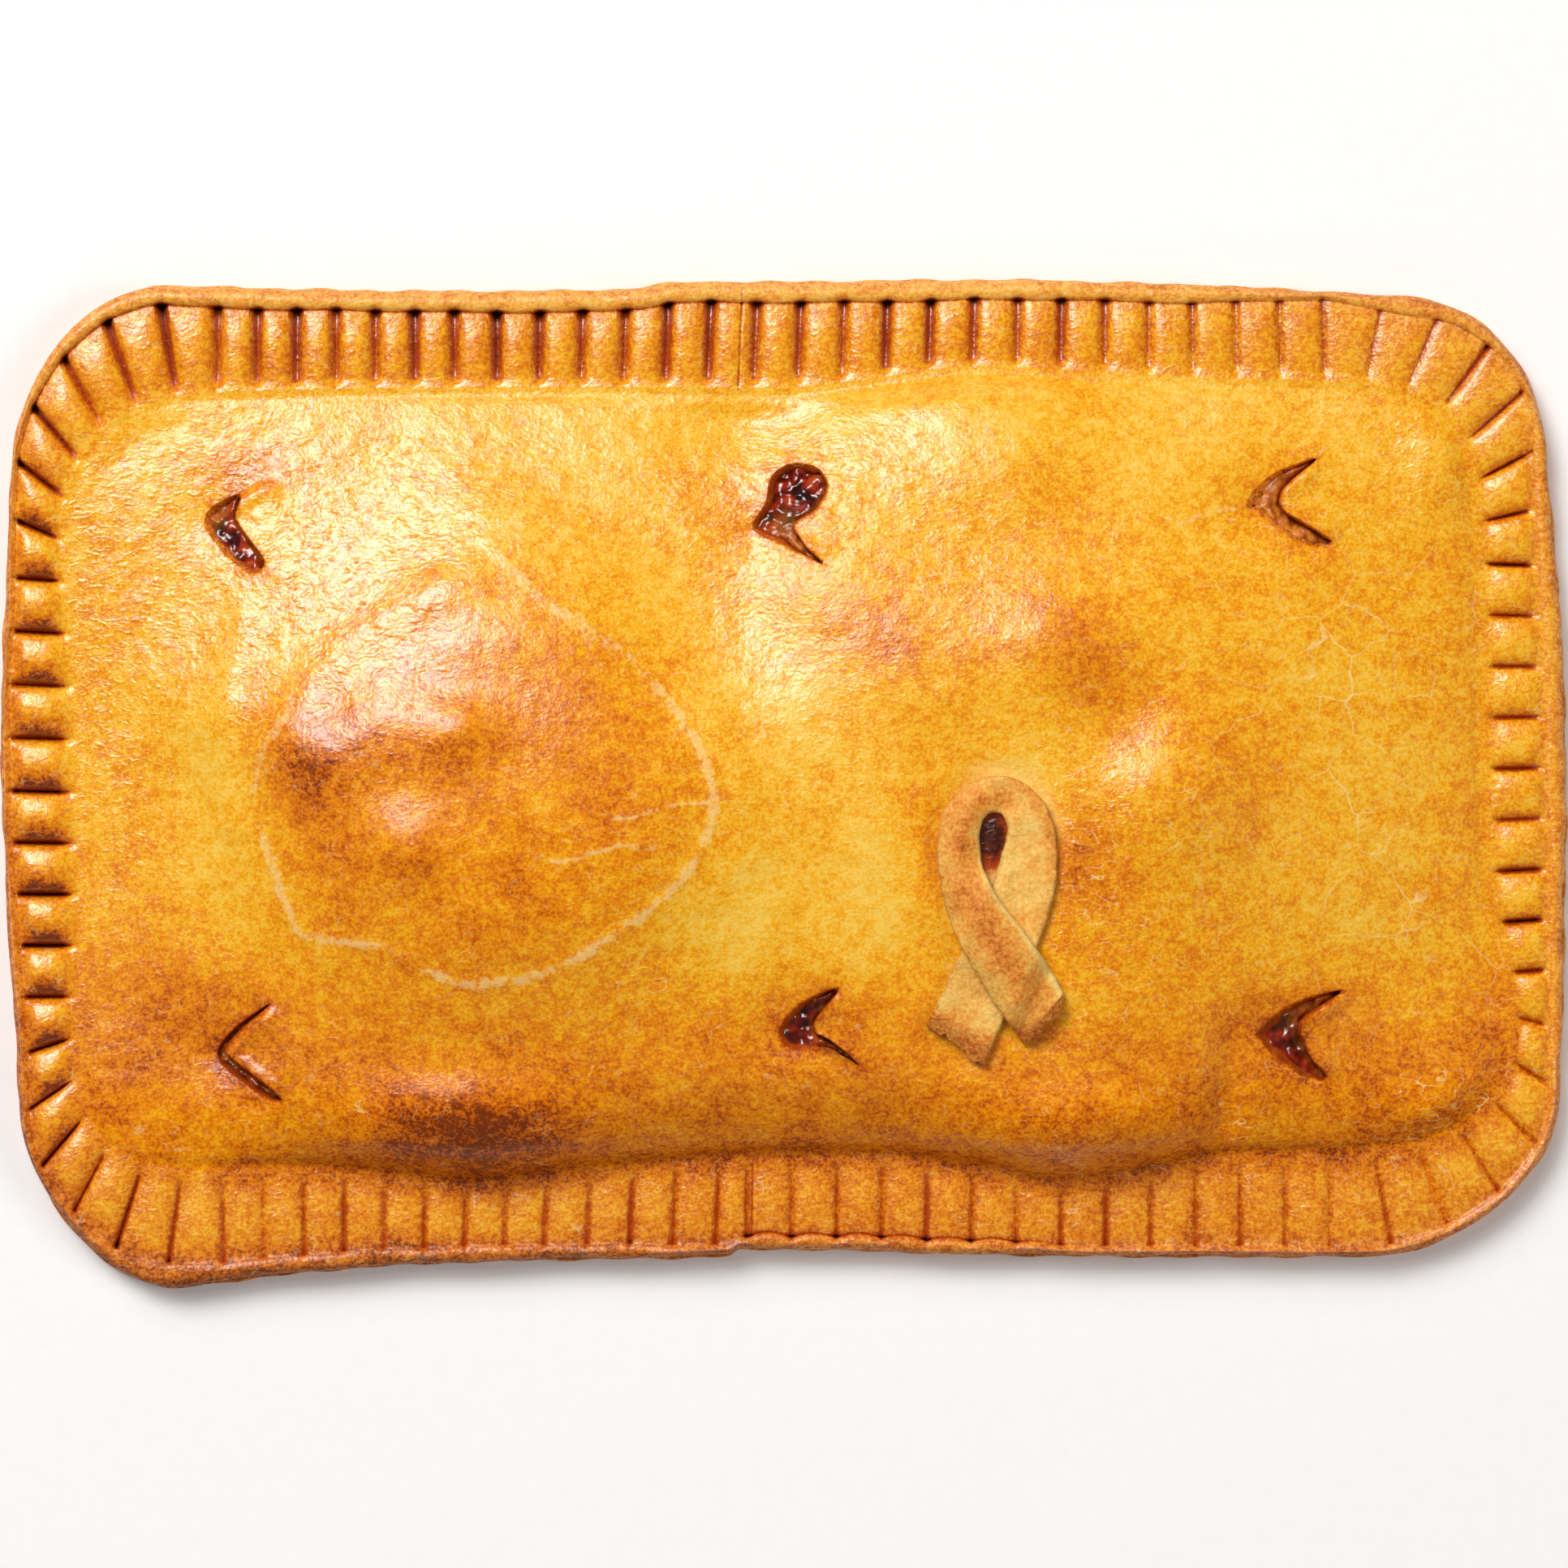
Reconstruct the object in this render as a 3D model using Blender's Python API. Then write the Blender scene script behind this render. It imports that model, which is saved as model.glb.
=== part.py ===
"""Baked tuna empanada, a flat tray pie about 300 mm long: a base sheet of dough, a mound of tuna
filling, a lid sheet pressed to the base with crimps all round and slit with six vents, and a
crossed loop of dough laid on the lid. Metres, +Z up, front of the pie towards -Y."""

import bmesh
import bpy
import numpy as np
from mathutils import Vector, geometry

MM = 0.001

# Thickness of the two sheets of dough, and the gap kept between pieces that touch
BASE_THICK = 2.8 * MM
LID_THICK = 3.0 * MM
GAP = 0.3 * MM

# Four sides of the base sheet seen from above, in millimetres, each from its first point to its
# last, going round anticlockwise from the front left corner. Round corners join them.
FRONT_EDGE = (
    (-115, -96.4), (-100, -94.6), (-80, -92.6), (-54, -91.4), (-10.5, -90.5),
    (-8.5, -89.3), (12, -89.4), (40, -90.2), (70, -90.6), (112, -90.6),
)
RIGHT_EDGE = ((148.4, -61), (149.2, -40), (149.8, 0), (149.0, 26), (147.6, 45), (146.0, 63))
BACK_EDGE = (
    (120, 93.2), (100, 94.6), (70, 95.9), (40, 96.6), (0, 96.2), (-20, 96.1),
    (-28, 95.1), (-36, 94.6), (-72, 94.5), (-100, 95.0), (-118, 95.5),
)
LEFT_EDGE = ((-147.8, 62), (-149.5, 26), (-149.9, 5), (-148.9, -20), (-147, -50), (-146.2, -63))
EDGE_CORNERS = (0.32, 0.40, 0.34, 0.32)

# The line where the crimps end and the lid starts to rise, given in the same way
FRONT_FOOT = (
    (-107.1, -74.0), (-88, -73.7), (-75, -75.0), (-58, -76.5), (-41, -74.5), (-21, -72.5),
    (-7, -71.4), (21, -71.4), (36, -73.7), (52, -76.5), (67, -74.5), (83, -71.4), (104, -70.9),
)
RIGHT_FOOT = ((138, -36), (134.6, -21), (133.5, -2), (133.0, 13), (132.8, 29), (132.4, 42))
BACK_FOOT = (
    (103, 76.5), (78, 77.3), (52, 78.8), (33, 79.3), (18.5, 77.3), (1.5, 75.4),
    (-22, 75.4), (-55, 75.4), (-86, 75.1), (-108, 74.5),
)
LEFT_FOOT = ((-136.6, 38.6), (-134.5, 18), (-134.2, -1.6), (-133.8, -21.5), (-134.6, -40.5))
FOOT_CORNERS = (0.53, 0.60, 0.50, 0.60)
CURVE_STEPS = 16
CURVE_REACH = 0.333

# Crimps are numbered anticlockwise from the front left. Between two stops they are evenly spaced:
# two runs along the front and the back, one along each end and a fan of seven round each corner.
CRIMPS = 96
STOPS = (
    (0, "front", -106.9), (8, "front", -45.5), (12, "front", -12.3), (13, "front", -6.8),
    (26, "front", 104.0), (33, "right", -36.0), (41, "right", 41.9),
    (48, "back", 103.0), (61, "back", -5.5), (62, "back", -14.1), (68, "back", -62.1),
    (74, "back", -107.8), (81, "left", 38.6), (85, "left", -1.6), (89, "left", -41.2),
)

# Along the rim: the width of the plain bead outside the crimps, the depth of the pressed grooves
# and the swell of the pads between them, each as crimp number and millimetres
BEAD_WIDTH = (
    (0, 4.2), (13, 3.0), (26, 2.6), (33, 3.6), (37, 4.8), (41, 4.4), (44, 2.8), (46.5, 4.4),
    (48, 2.2), (51, 4.0), (61, 4.4), (74, 4.3), (77, 3.3), (79, 2.4), (85, 2.4), (89, 2.9),
    (92, 2.6), (94, 4.2), (95, 5.6), (96, 4.2),
)
GROOVE_DEPTH = (
    (0, 0.9), (20, 0.8), (26, 0.7), (30, 1.1), (33, 1.5), (41, 1.3), (44, 1.6), (46, 0.5),
    (49, 0.9), (54, 1.6), (74, 2.0), (81, 2.2), (89, 2.2), (92, 1.6), (95, 0.9), (96, 0.9),
)
PAD_SWELL = (
    (0, 0.3), (26, 0.3), (31, 0.7), (41, 0.8), (46, 0.3), (60, 0.4), (74, 0.5), (80, 1.1),
    (90, 1.1), (95, 0.3), (96, 0.3),
)
GROOVE_HALF_WIDTH = 0.9 * MM
GROOVE_SHOULDER = 0.14
COLUMNS_IN_CRIMP = (0, GROOVE_SHOULDER, 0.5, 1 - GROOVE_SHOULDER)

# Heights of the rim above the tray
BEAD_TOP = 7.4 * MM
PAD_TOP = 6.7 * MM
FOOT_TOP = 7.0 * MM
LID_WIDEST = 4.6 * MM
LID_SHOULDER = 6.6 * MM
LID_SET_IN = 0.6 * MM
LID_UNDERCUT = 0.5 * MM
SHOULDER_ROUNDING = 0.6 * MM
BEAD_CROWN = 0.5
MID_PAD = 0.55
BASE_WIDEST = 1.2 * MM
BASE_UNDERCUT = 0.8 * MM
BASE_ROUNDING = 0.25 * MM
BASE_COLUMNS = 192

# The lid between the crimps: a pillow that rises steeply at the front and gently elsewhere. Each
# end has the place that it starts from and its width.
RISE = 17.0 * MM
PILLOW_LEFT = (-136 * MM, 82 * MM)
PILLOW_RIGHT = (135 * MM, 74 * MM)
STEEPNESS_OF_ENDS = 0.35
BACK_SLOPE = 90 * MM
# The front flank is a short shoulder and a long slope in one
FRONT_SHOULDER = 20 * MM
FRONT_SLOPE = 70 * MM
STEEPNESS_OF_SLOPE = 0.6
SHARE_OF_SHOULDER = 0.6
FILLET = 3 * MM

# Swellings and hollows of the lid, in millimetres: x, y, half length, half width, height, and how
# flat the top is (1 is a plain bump, 2 a flat one)
SWELLINGS = (
    (-56, 1, 46, 42, 6.2, 2.0),
    (-89, 5, 11, 9, 1.8, 1.0),
    (-63, 9, 8, 7, 0.9, 1.0),
    (-72, -10, 8, 7, 0.9, 1.0),
    (-62, -66, 24, 10, 4.0, 1.2),
    (-98, 30, 26, 20, 1.5, 1.0),
    (-8, 50, 14, 48, -3.4, 1.0),
    (22, 24, 22, 18, 2.2, 1.0),
    (52, 27, 20, 15, 2.4, 1.0),
    (74, -1, 13, 13, 3.0, 1.0),
    (64, 12, 9, 9, -1.4, 1.0),
    (28, 60, 30, 12, 2.6, 1.0),
    (56, -67, 24, 9, 3.6, 1.2),
    (84, -62, 4, 11, -1.6, 1.0),
    (122, -60, 16, 12, 2.4, 1.0),
    (128, 61, 10, 10, 2.0, 1.0),
    (112, 0, 22, 40, 1.0, 1.0),
)
SWELLING_EDGE = 7 * MM

# Vents, each a slit bent like a V that points left: its point, the ends of its two arms and the
# corner of the flap of dough between them, in millimetres
VENTS = (
    ((-110.8, 50.4), (-104.0, 55.1), (-100.3, 40.5), (-105.7, 51.5)),
    ((-5.7, 48.4), (3.5, 57.5), (7.1, 41.9), (1.2, 49.0)),
    ((88.9, 52.6), (101.5, 61.9), (104.7, 45.5), (95.3, 52.9)),
    ((-107.7, -51.6), (-98.6, -42.1), (-96.0, -60.0), (-105.8, -52.0)),
    ((-0.8, -46.7), (10.4, -38.4), (13.9, -53.2), (5.8, -46.4)),
    ((90.3, -47.2), (106.1, -39.3), (103.1, -56.1), (97.7, -46.9)),
)
VENT_BOW = 1.3 * MM
BOW_PARTS = (0.3, 0.7)
VENT_TIP = 0.25 * MM
VENT_SAG = 1.2 * MM
VENT_SAG_REACH = 8 * MM
# The second vent has blown open into a round hole
BLOWN_HOLE = (2.2, 55.4)
BLOWN_HOLE_RADII = (5.6, 5.2)
BLOWN_HOLE_SIDES = 14

# Pocket for the filling under the lid
POCKET_INSET = 2.5 * MM
POCKET_WALL = 1.2 * MM
POCKET_COLUMNS = 96
FILLING_CLEARANCE = 0.4 * MM

# The lid is cut in cells, with more rows where the front flank is steep
LID_CELL = 5.0 * MM
LID_FLANK_ROWS = (-72.5 * MM, -67.5 * MM, -62.5 * MM)
POCKET_CELL = 10.0 * MM
POCKET_FLANK_ROWS = (-65 * MM,)
SNAP = 0.35 * MM

# The crossed loop: middle line from the end of the front tail up the left side, over the top, down
# the right side and under itself to the back tail, in millimetres, with its width at each point
LOOP_LINE = (
    (49.0, -44.6, 11.4), (44.6, -37.8, 12.4), (39.6, -30.2, 11.8), (35.0, -22.0, 9.6),
    (32.8, -13.5, 8.2), (33.6, -6.0, 7.4), (37.6, -2.2, 6.8), (43.0, -2.9, 7.2),
    (46.2, -8.4, 9.0), (45.6, -17.0, 11.4), (43.0, -25.6, 12.2), (39.2, -33.4, 12.4),
    (32.6, -48.4, 13.2),
)
LOOP_THICK = 3.2 * MM
LOOP_CROSSING = 5
LOOP_STEPS = 4
LOOP_COVER_MARGIN = 4.5 * MM
LOOP_PROFILE = (
    (-1.0, 0.45), (-0.72, 0.92), (0.0, 1.0), (0.72, 0.92), (1.0, 0.45),
    (0.86, 0.0), (0.0, 0.0), (-0.86, 0.0),
)

CRUST_COLOUR = (0.78, 0.36, 0.05, 1)
BASE_COLOUR = (0.62, 0.28, 0.06, 1)
FILLING_COLOUR = (0.16, 0.02, 0.006, 1)
LOOP_COLOUR = (0.76, 0.42, 0.11, 1)


def material(name, colour, roughness):
    """A Principled material with a plain colour."""
    made = bpy.data.materials.new(name)
    made.use_nodes = True
    shader = made.node_tree.nodes["Principled BSDF"]
    shader.inputs["Base Color"].default_value = colour
    shader.inputs["Roughness"].default_value = roughness
    shader.inputs["Metallic"].default_value = 0
    made.diffuse_color = colour
    return made


def add_object(name, mesh_bm, finish, parent):
    """Makes a smooth shaded object of a bmesh."""
    mesh = bpy.data.meshes.new(name)
    mesh_bm.to_mesh(mesh)
    mesh_bm.free()
    mesh.shade_smooth()
    mesh.materials.append(finish)
    made = bpy.data.objects.new(name, mesh)
    bpy.context.scene.collection.objects.link(made)
    made.parent = parent
    return made


def side_with_slopes(points):
    """Points of one side in metres, and the direction of the side at each of them."""
    side = np.array(points) * MM
    slopes = np.empty_like(side)
    slopes[1:-1] = side[2:] - side[:-2]
    slopes[0] = side[1] - side[0]
    slopes[-1] = side[-1] - side[-2]
    return side, slopes / np.linalg.norm(slopes, axis=1)[:, None]


def curve_between(start, leaving, end, arriving, reach):
    """Points of a smooth curve from start up to, but without, end."""
    corners = (start, start + leaving * reach, end - arriving * reach, end)
    knots = [Vector((x, y, 0)) for x, y in corners]
    points = geometry.interpolate_bezier(*knots, CURVE_STEPS + 1)
    return [point.to_2d() for point in points[:-1]]


def closed_outline(sides, fullness):
    """Points all round four sides that are joined by round corners."""
    outline = []
    ready = [side_with_slopes(side) for side in sides]
    for number, (side, slopes) in enumerate(ready):
        for i in range(len(side) - 1):
            reach = np.linalg.norm(side[i + 1] - side[i]) * CURVE_REACH
            outline += curve_between(side[i], slopes[i], side[i + 1], slopes[i + 1], reach)
        following, following_slopes = ready[(number + 1) % len(ready)]
        reach = np.linalg.norm(following[0] - side[-1]) * fullness[number]
        outline += curve_between(side[-1], slopes[-1], following[0], following_slopes[0], reach)
    return np.array(outline)


def nearest_stop(outline, side, place):
    """The number of the outline's point that lies on a side at the given place along it."""
    along, outward, sign = {
        "front": (0, 1, -1), "back": (0, 1, 1), "left": (1, 0, -1), "right": (1, 0, 1),
    }[side]
    miss = np.abs(outline[:, along] - place * MM)
    miss[outline[:, outward] * sign < 0] = np.inf
    return int(miss.argmin())


def crimp_track(outline):
    """A function that gives the places on a closed outline for an array of crimp numbers."""
    closed = np.vstack([outline, outline[:1]])
    run = np.concatenate([[0], np.cumsum(np.linalg.norm(np.diff(closed, axis=0), axis=1))])
    numbers = [number for number, _, _ in STOPS] + [CRIMPS]
    reached = [run[nearest_stop(outline, side, place)] for _, side, place in STOPS]
    reached.append(reached[0] + run[-1])

    def place(crimp):
        along = np.interp(np.mod(crimp, CRIMPS), numbers, reached) % run[-1]
        across_x = np.interp(along, run, closed[:, 0])
        across_y = np.interp(along, run, closed[:, 1])
        return np.stack([across_x, across_y], axis=1)

    return place


def along_rim(table, crimp):
    """Reads a rim table at an array of crimp numbers, in metres."""
    numbers, values = zip(*table)
    return np.interp(np.mod(crimp, CRIMPS), numbers, values) * MM


EDGE_LINE = closed_outline((FRONT_EDGE, RIGHT_EDGE, BACK_EDGE, LEFT_EDGE), EDGE_CORNERS)
FOOT_LINE = closed_outline((FRONT_FOOT, RIGHT_FOOT, BACK_FOOT, LEFT_FOOT), FOOT_CORNERS)
edge_at = crimp_track(EDGE_LINE)
foot_at = crimp_track(FOOT_LINE)


def inward_from_edge(crimp, distance):
    """Places a distance in from the edge of the base sheet, towards the foot of the lid."""
    edge = edge_at(crimp)
    inward = foot_at(crimp) - edge
    inward /= np.linalg.norm(inward, axis=1)[:, None]
    return edge + inward * np.reshape(distance, (-1, 1))


def inward_from_foot(crimp, distance):
    """Places a distance in from the foot of the lid, square to it."""
    step = 0.05
    ahead = foot_at(crimp + step) - foot_at(crimp - step)
    inward = np.stack([-ahead[:, 1], ahead[:, 0]], axis=1)
    inward /= np.linalg.norm(inward, axis=1)[:, None]
    return foot_at(crimp) + inward * distance


def pad_height(crimp):
    """Height of the pressed part of the rim: pads that swell between narrow grooves."""
    part = np.mod(crimp, 1)
    pitch = np.linalg.norm(edge_at(np.floor(crimp) + 1) - edge_at(np.floor(crimp)), axis=1)
    from_groove = np.minimum(part, 1 - part) * pitch
    groove = np.exp(-((from_groove / GROOVE_HALF_WIDTH) ** 2))
    swell = 1 - (2 * part - 1) ** 2
    return PAD_TOP + along_rim(PAD_SWELL, crimp) * swell - along_rim(GROOVE_DEPTH, crimp) * groove


def eased(value):
    """0 below 0, 1 above 1, and a curve with no kink at either end between them."""
    held = np.clip(value, 0, 1)
    return held * held * (3 - 2 * held)


def rise_over(distance, width, steepness=1.0):
    """A flank that levels out over a width. At steepness 1 it starts steep, at 0 it starts level."""
    held = np.clip(distance / width, 0, 1)
    return steepness * (1 - (1 - held) ** 2) + (1 - steepness) * eased(held)


def distance_from_foot(places):
    """Distance of each place from the foot line."""
    steps = places[:, None, :] - FOOT_LINE[None, :, :]
    return np.sqrt((steps**2).sum(axis=2).min(axis=1))


def pillow(places, inset):
    """Height of the lid's plain pillow, from 0 to 1. The inset moves every flank inwards."""
    x, y = places.T
    left, left_width = PILLOW_LEFT
    right, right_width = PILLOW_RIGHT
    ends = rise_over(x - left - inset, left_width, STEEPNESS_OF_ENDS)
    ends *= rise_over(right - inset - x, right_width, STEEPNESS_OF_ENDS)
    foot_x, foot_y = np.array(FRONT_FOOT).T * MM
    from_front = y - np.interp(x, foot_x, foot_y) - inset
    foot_x, foot_y = np.array(BACK_FOOT[::-1]).T * MM
    from_back = np.interp(x, foot_x, foot_y) - inset - y
    flanks = SHARE_OF_SHOULDER * rise_over(from_front, FRONT_SHOULDER)
    flanks += (1 - SHARE_OF_SHOULDER) * rise_over(from_front, FRONT_SLOPE, STEEPNESS_OF_SLOPE)
    flanks *= rise_over(from_back, BACK_SLOPE)
    return ends * flanks * eased((distance_from_foot(places) - inset) / FILLET)


def swellings(places):
    """Height of the bumps and hollows of the lid."""
    x, y = places.T
    height = np.zeros(len(places))
    for middle_x, middle_y, half_x, half_y, rise, flatness in SWELLINGS:
        away = ((x / MM - middle_x) / half_x) ** 2 + ((y / MM - middle_y) / half_y) ** 2
        height += rise * MM * np.exp(-(away**flatness))
    for point, _, _, _ in VENTS:
        away = ((x - point[0] * MM) ** 2 + (y - point[1] * MM) ** 2) / VENT_SAG_REACH**2
        height -= VENT_SAG * np.exp(-away)
    return height


def lid_top(places):
    """Height of the top of the lid inside its foot line."""
    edge = eased(distance_from_foot(places) / SWELLING_EDGE)
    return FOOT_TOP + RISE * pillow(places, 0) + swellings(places) * edge


def lid_underside(places):
    """Height of the underside of the lid over the filling, a sheet's thickness inside the top."""
    pocket_roof = BASE_THICK + GAP + POCKET_WALL
    rise = FOOT_TOP + RISE - LID_THICK - pocket_roof
    edge = eased((distance_from_foot(places) - LID_THICK) / SWELLING_EDGE)
    return pocket_roof + rise * pillow(places, LID_THICK) + swellings(places) * edge


def at_height(places, height):
    """Puts a height to places seen from above."""
    return np.column_stack([places, np.broadcast_to(height, len(places))])


def first_ring(bm, points):
    """A closed ring of edges through the points."""
    ring = bmesh.ops.create_circle(bm, segments=len(points), radius=1)["verts"]
    for vert, point in zip(ring, points):
        vert.co = point
    return ring


def ring_edges(bm, ring):
    """The edges from each vertex of a ring to the one before it."""
    return [bm.edges.get((ring[i], ring[i - 1])) for i in range(len(ring))]


def next_ring(bm, ring, points):
    """Extrudes a ring of edges and moves the new ring to the points."""
    grown = bmesh.ops.extrude_edge_only(bm, edges=ring_edges(bm, ring))["geom"]
    new = {item for item in grown if isinstance(item, bmesh.types.BMVert)}
    following = []
    for vert in ring:
        following.append(next(e.other_vert(vert) for e in vert.link_edges if e.other_vert(vert) in new))
    for vert, point in zip(following, points):
        vert.co = point
    return following


def fill_ring(bm, ring):
    """Closes a ring with one face."""
    return bmesh.ops.contextual_create(bm, geom=ring_edges(bm, ring))["faces"]


def verts_of(faces):
    """Every vertex of some faces once, in a steady order."""
    return list(dict.fromkeys(vert for face in faces for vert in face.verts))


def cut_in_cells(bm, faces, cell, flank_rows):
    """Cuts a flat face into a grid of cells with some more rows, and each cell into triangles."""
    right, back = Vector((1, 0, 0)), Vector((0, 1, 0))
    reach = max(abs(part) for vert in verts_of(faces) for part in vert.co.xy)
    lines = np.arange(-int(reach / cell), int(reach / cell) + 1) * cell
    cuts = [(right, place) for place in lines]
    cuts += [(back, place) for place in sorted([*lines, *flank_rows])]
    edges = dict.fromkeys(edge for face in faces for edge in face.edges)
    geom = [*verts_of(faces), *edges, *faces]
    for square, place in cuts:
        geom = bmesh.ops.bisect_plane(
            bm, geom=geom, dist=SNAP, plane_co=square * place, plane_no=square
        )["geom"]
    cells = [part for part in geom if isinstance(part, bmesh.types.BMFace)]
    return bmesh.ops.triangulate(bm, faces=cells, ngon_method="BEAUTY")["faces"]


def raise_to(verts, height):
    """Moves vertices to a height function."""
    places = np.array([(vert.co.x, vert.co.y) for vert in verts])
    for vert, z in zip(verts, height(places)):
        vert.co.z = z


def close_up(bm):
    """Makes every face a triangle that faces outwards."""
    bmesh.ops.triangulate(bm, faces=list(bm.faces), ngon_method="BEAUTY")
    bmesh.ops.recalc_face_normals(bm, faces=list(bm.faces))


def base_sheet():
    """The flat sheet under the filling, with a rounded edge."""
    crimp = np.arange(BASE_COLUMNS) * CRIMPS / BASE_COLUMNS
    bm = bmesh.new()
    bottom = first_ring(bm, at_height(inward_from_edge(crimp, BASE_UNDERCUT), 0))
    widest = next_ring(bm, bottom, at_height(inward_from_edge(crimp, 0), BASE_WIDEST))
    top = next_ring(bm, widest, at_height(inward_from_edge(crimp, BASE_ROUNDING), BASE_THICK))
    fill_ring(bm, bottom)
    fill_ring(bm, top)
    close_up(bm)
    return bm


def pocket_patch(bm, height):
    """A flat patch as large as the pocket, cut in cells. Gives its faces and its open edges."""
    crimp = np.arange(POCKET_COLUMNS) * CRIMPS / POCKET_COLUMNS
    ring = first_ring(bm, at_height(inward_from_foot(crimp, POCKET_INSET), height))
    faces = cut_in_cells(bm, fill_ring(bm, ring), POCKET_CELL, POCKET_FLANK_ROWS)
    return faces, [edge for edge in bm.edges if edge.is_boundary]


def shift_inwards(edges, inset):
    """Moves a closed line of edges inwards, each vertex square to the line of its neighbours."""
    verts = list(dict.fromkeys(vert for edge in edges for vert in edge.verts))
    moved = []
    for vert in verts:
        before, after = [edge.other_vert(vert).co for edge in vert.link_edges if edge.is_boundary]
        along = (after - before).normalized()
        square = Vector((-along.y, along.x, 0))
        if square.dot(vert.co) > 0:
            square.negate()
        moved.append(vert.co + square * inset)
    for vert, place in zip(verts, moved):
        vert.co = place


def filling_mound():
    """The filling, flat under and humped to the shape of the lid."""
    bm = bmesh.new()
    faces, outline = pocket_patch(bm, BASE_THICK + GAP)
    shift_inwards(outline, FILLING_CLEARANCE)
    bmesh.ops.extrude_edge_only(bm, edges=outline)
    raise_to(verts_of(faces), lambda places: lid_underside(places) - GAP)
    bmesh.ops.holes_fill(bm, edges=list(bm.edges))
    close_up(bm)
    return bm


def lid_pocket():
    """The underside of the lid over the filling, with the low wall round it, as a mesh."""
    bm = bmesh.new()
    faces, outline = pocket_patch(bm, BASE_THICK + GAP)
    bmesh.ops.extrude_edge_only(bm, edges=outline)
    raise_to(verts_of(faces), lid_underside)
    mesh = bpy.data.meshes.new("pocket")
    bm.to_mesh(mesh)
    bm.free()
    return mesh


def crimped_lid():
    """The lid sheet: a crimped rim that lies on the base sheet and a dome over the filling."""
    crimp = np.array([number + part for number in range(CRIMPS) for part in COLUMNS_IN_CRIMP])
    bead = along_rim(BEAD_WIDTH, crimp)
    land = np.linalg.norm(foot_at(crimp) - edge_at(crimp), axis=1)
    pads = pad_height(crimp)
    bm = bmesh.new()
    under = inward_from_edge(crimp, LID_SET_IN + LID_UNDERCUT)
    ring = first_ring(bm, at_height(under, BASE_THICK + GAP))
    rings = (
        (LID_SET_IN, LID_WIDEST),
        (LID_SET_IN + SHOULDER_ROUNDING, LID_SHOULDER),
        (LID_SET_IN + BEAD_CROWN * bead, BEAD_TOP),
        (bead, pads),
        (bead + MID_PAD * (land - bead), pads),
        (land, FOOT_TOP),
    )
    for distance, height in rings:
        ring = next_ring(bm, ring, at_height(inward_from_edge(crimp, distance), height))
    rim_faces = set(bm.faces)
    dome = cut_in_cells(bm, fill_ring(bm, ring), LID_CELL, LID_FLANK_ROWS)
    inner = [vert for vert in verts_of(dome) if rim_faces.isdisjoint(vert.link_faces)]
    raise_to(inner, lid_top)

    pocket = lid_pocket()
    bm.from_mesh(pocket)
    bpy.data.meshes.remove(pocket)
    open_edges = [edge for edge in bm.edges if edge.is_boundary]
    bmesh.ops.triangle_fill(bm, edges=open_edges, use_beauty=True, normal=Vector((0, 0, -1)))
    close_up(bm)
    return bm


def bowed(start, end, bow):
    """Points between start and end, pushed out to the right of the way by a bow."""
    way = end - start
    square = np.array([way[1], -way[0]]) / np.linalg.norm(way)
    return [start + way * part + square * bow for part in BOW_PARTS]


def vent_outline(vent):
    """Outline of one slit: out along its outer edges and back along the flap."""
    point, upper, lower, flap = (np.array(place) * MM for place in vent)
    blunt = np.array([0, VENT_TIP])
    outer = [upper + blunt, *bowed(upper, point, VENT_BOW), point]
    outer += [*bowed(point, lower, VENT_BOW), lower - blunt]
    return outer + [lower + blunt, flap, upper - blunt]


def blown_outline():
    """Outline of the round hole that the second vent has blown open into."""
    turn = np.linspace(0, 2 * np.pi, BLOWN_HOLE_SIDES, endpoint=False)
    middle = np.array(BLOWN_HOLE)
    reach = np.array(BLOWN_HOLE_RADII)
    return (middle + np.column_stack([np.cos(turn), np.sin(turn)]) * reach) * MM


def prism(name, outline, low, high):
    """A hidden upright prism for cutting."""
    bm = bmesh.new()
    ring = first_ring(bm, at_height(np.array(outline), low))
    top = next_ring(bm, ring, at_height(np.array(outline), high))
    fill_ring(bm, ring)
    fill_ring(bm, top)
    bmesh.ops.recalc_face_normals(bm, faces=list(bm.faces))
    mesh = bpy.data.meshes.new(name)
    bm.to_mesh(mesh)
    bm.free()
    made = bpy.data.objects.new(name, mesh)
    bpy.context.scene.collection.objects.link(made)
    made.hide_render = True
    made.display_type = "WIRE"
    return made


def cut_vents(lid):
    """Cuts the six slits and the blown hole through the lid."""
    low = BASE_THICK + POCKET_WALL + GAP
    high = 2 * RISE
    outlines = [vent_outline(vent) for vent in VENTS] + [blown_outline()]
    for number, outline in enumerate(outlines):
        cut = lid.modifiers.new(f"vent {number + 1}", "BOOLEAN")
        cut.operation = "DIFFERENCE"
        cut.object = prism(f"vent_cutter_{number + 1}", outline, low, high)
        cut.solver = "EXACT"


def loop_stations():
    """Middle line of the crossed loop with its width, and the way it runs at each point."""
    knots = np.array(LOOP_LINE) * MM
    slopes = np.gradient(knots, axis=0)
    part = np.arange(LOOP_STEPS)[:, None] / LOOP_STEPS
    stations = []
    for start, leaving, end, arriving in zip(knots, slopes, knots[1:], slopes[1:]):
        stretch = start * (2 * part**3 - 3 * part**2 + 1) + end * (3 * part**2 - 2 * part**3)
        stretch += leaving * (part**3 - 2 * part**2 + part) + arriving * (part**3 - part**2)
        stations.append(stretch)
    line = np.vstack([*stations, knots[-1:]])
    run = np.gradient(line[:, :2], axis=0)
    return line, run / np.linalg.norm(run, axis=1)[:, None]


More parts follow.
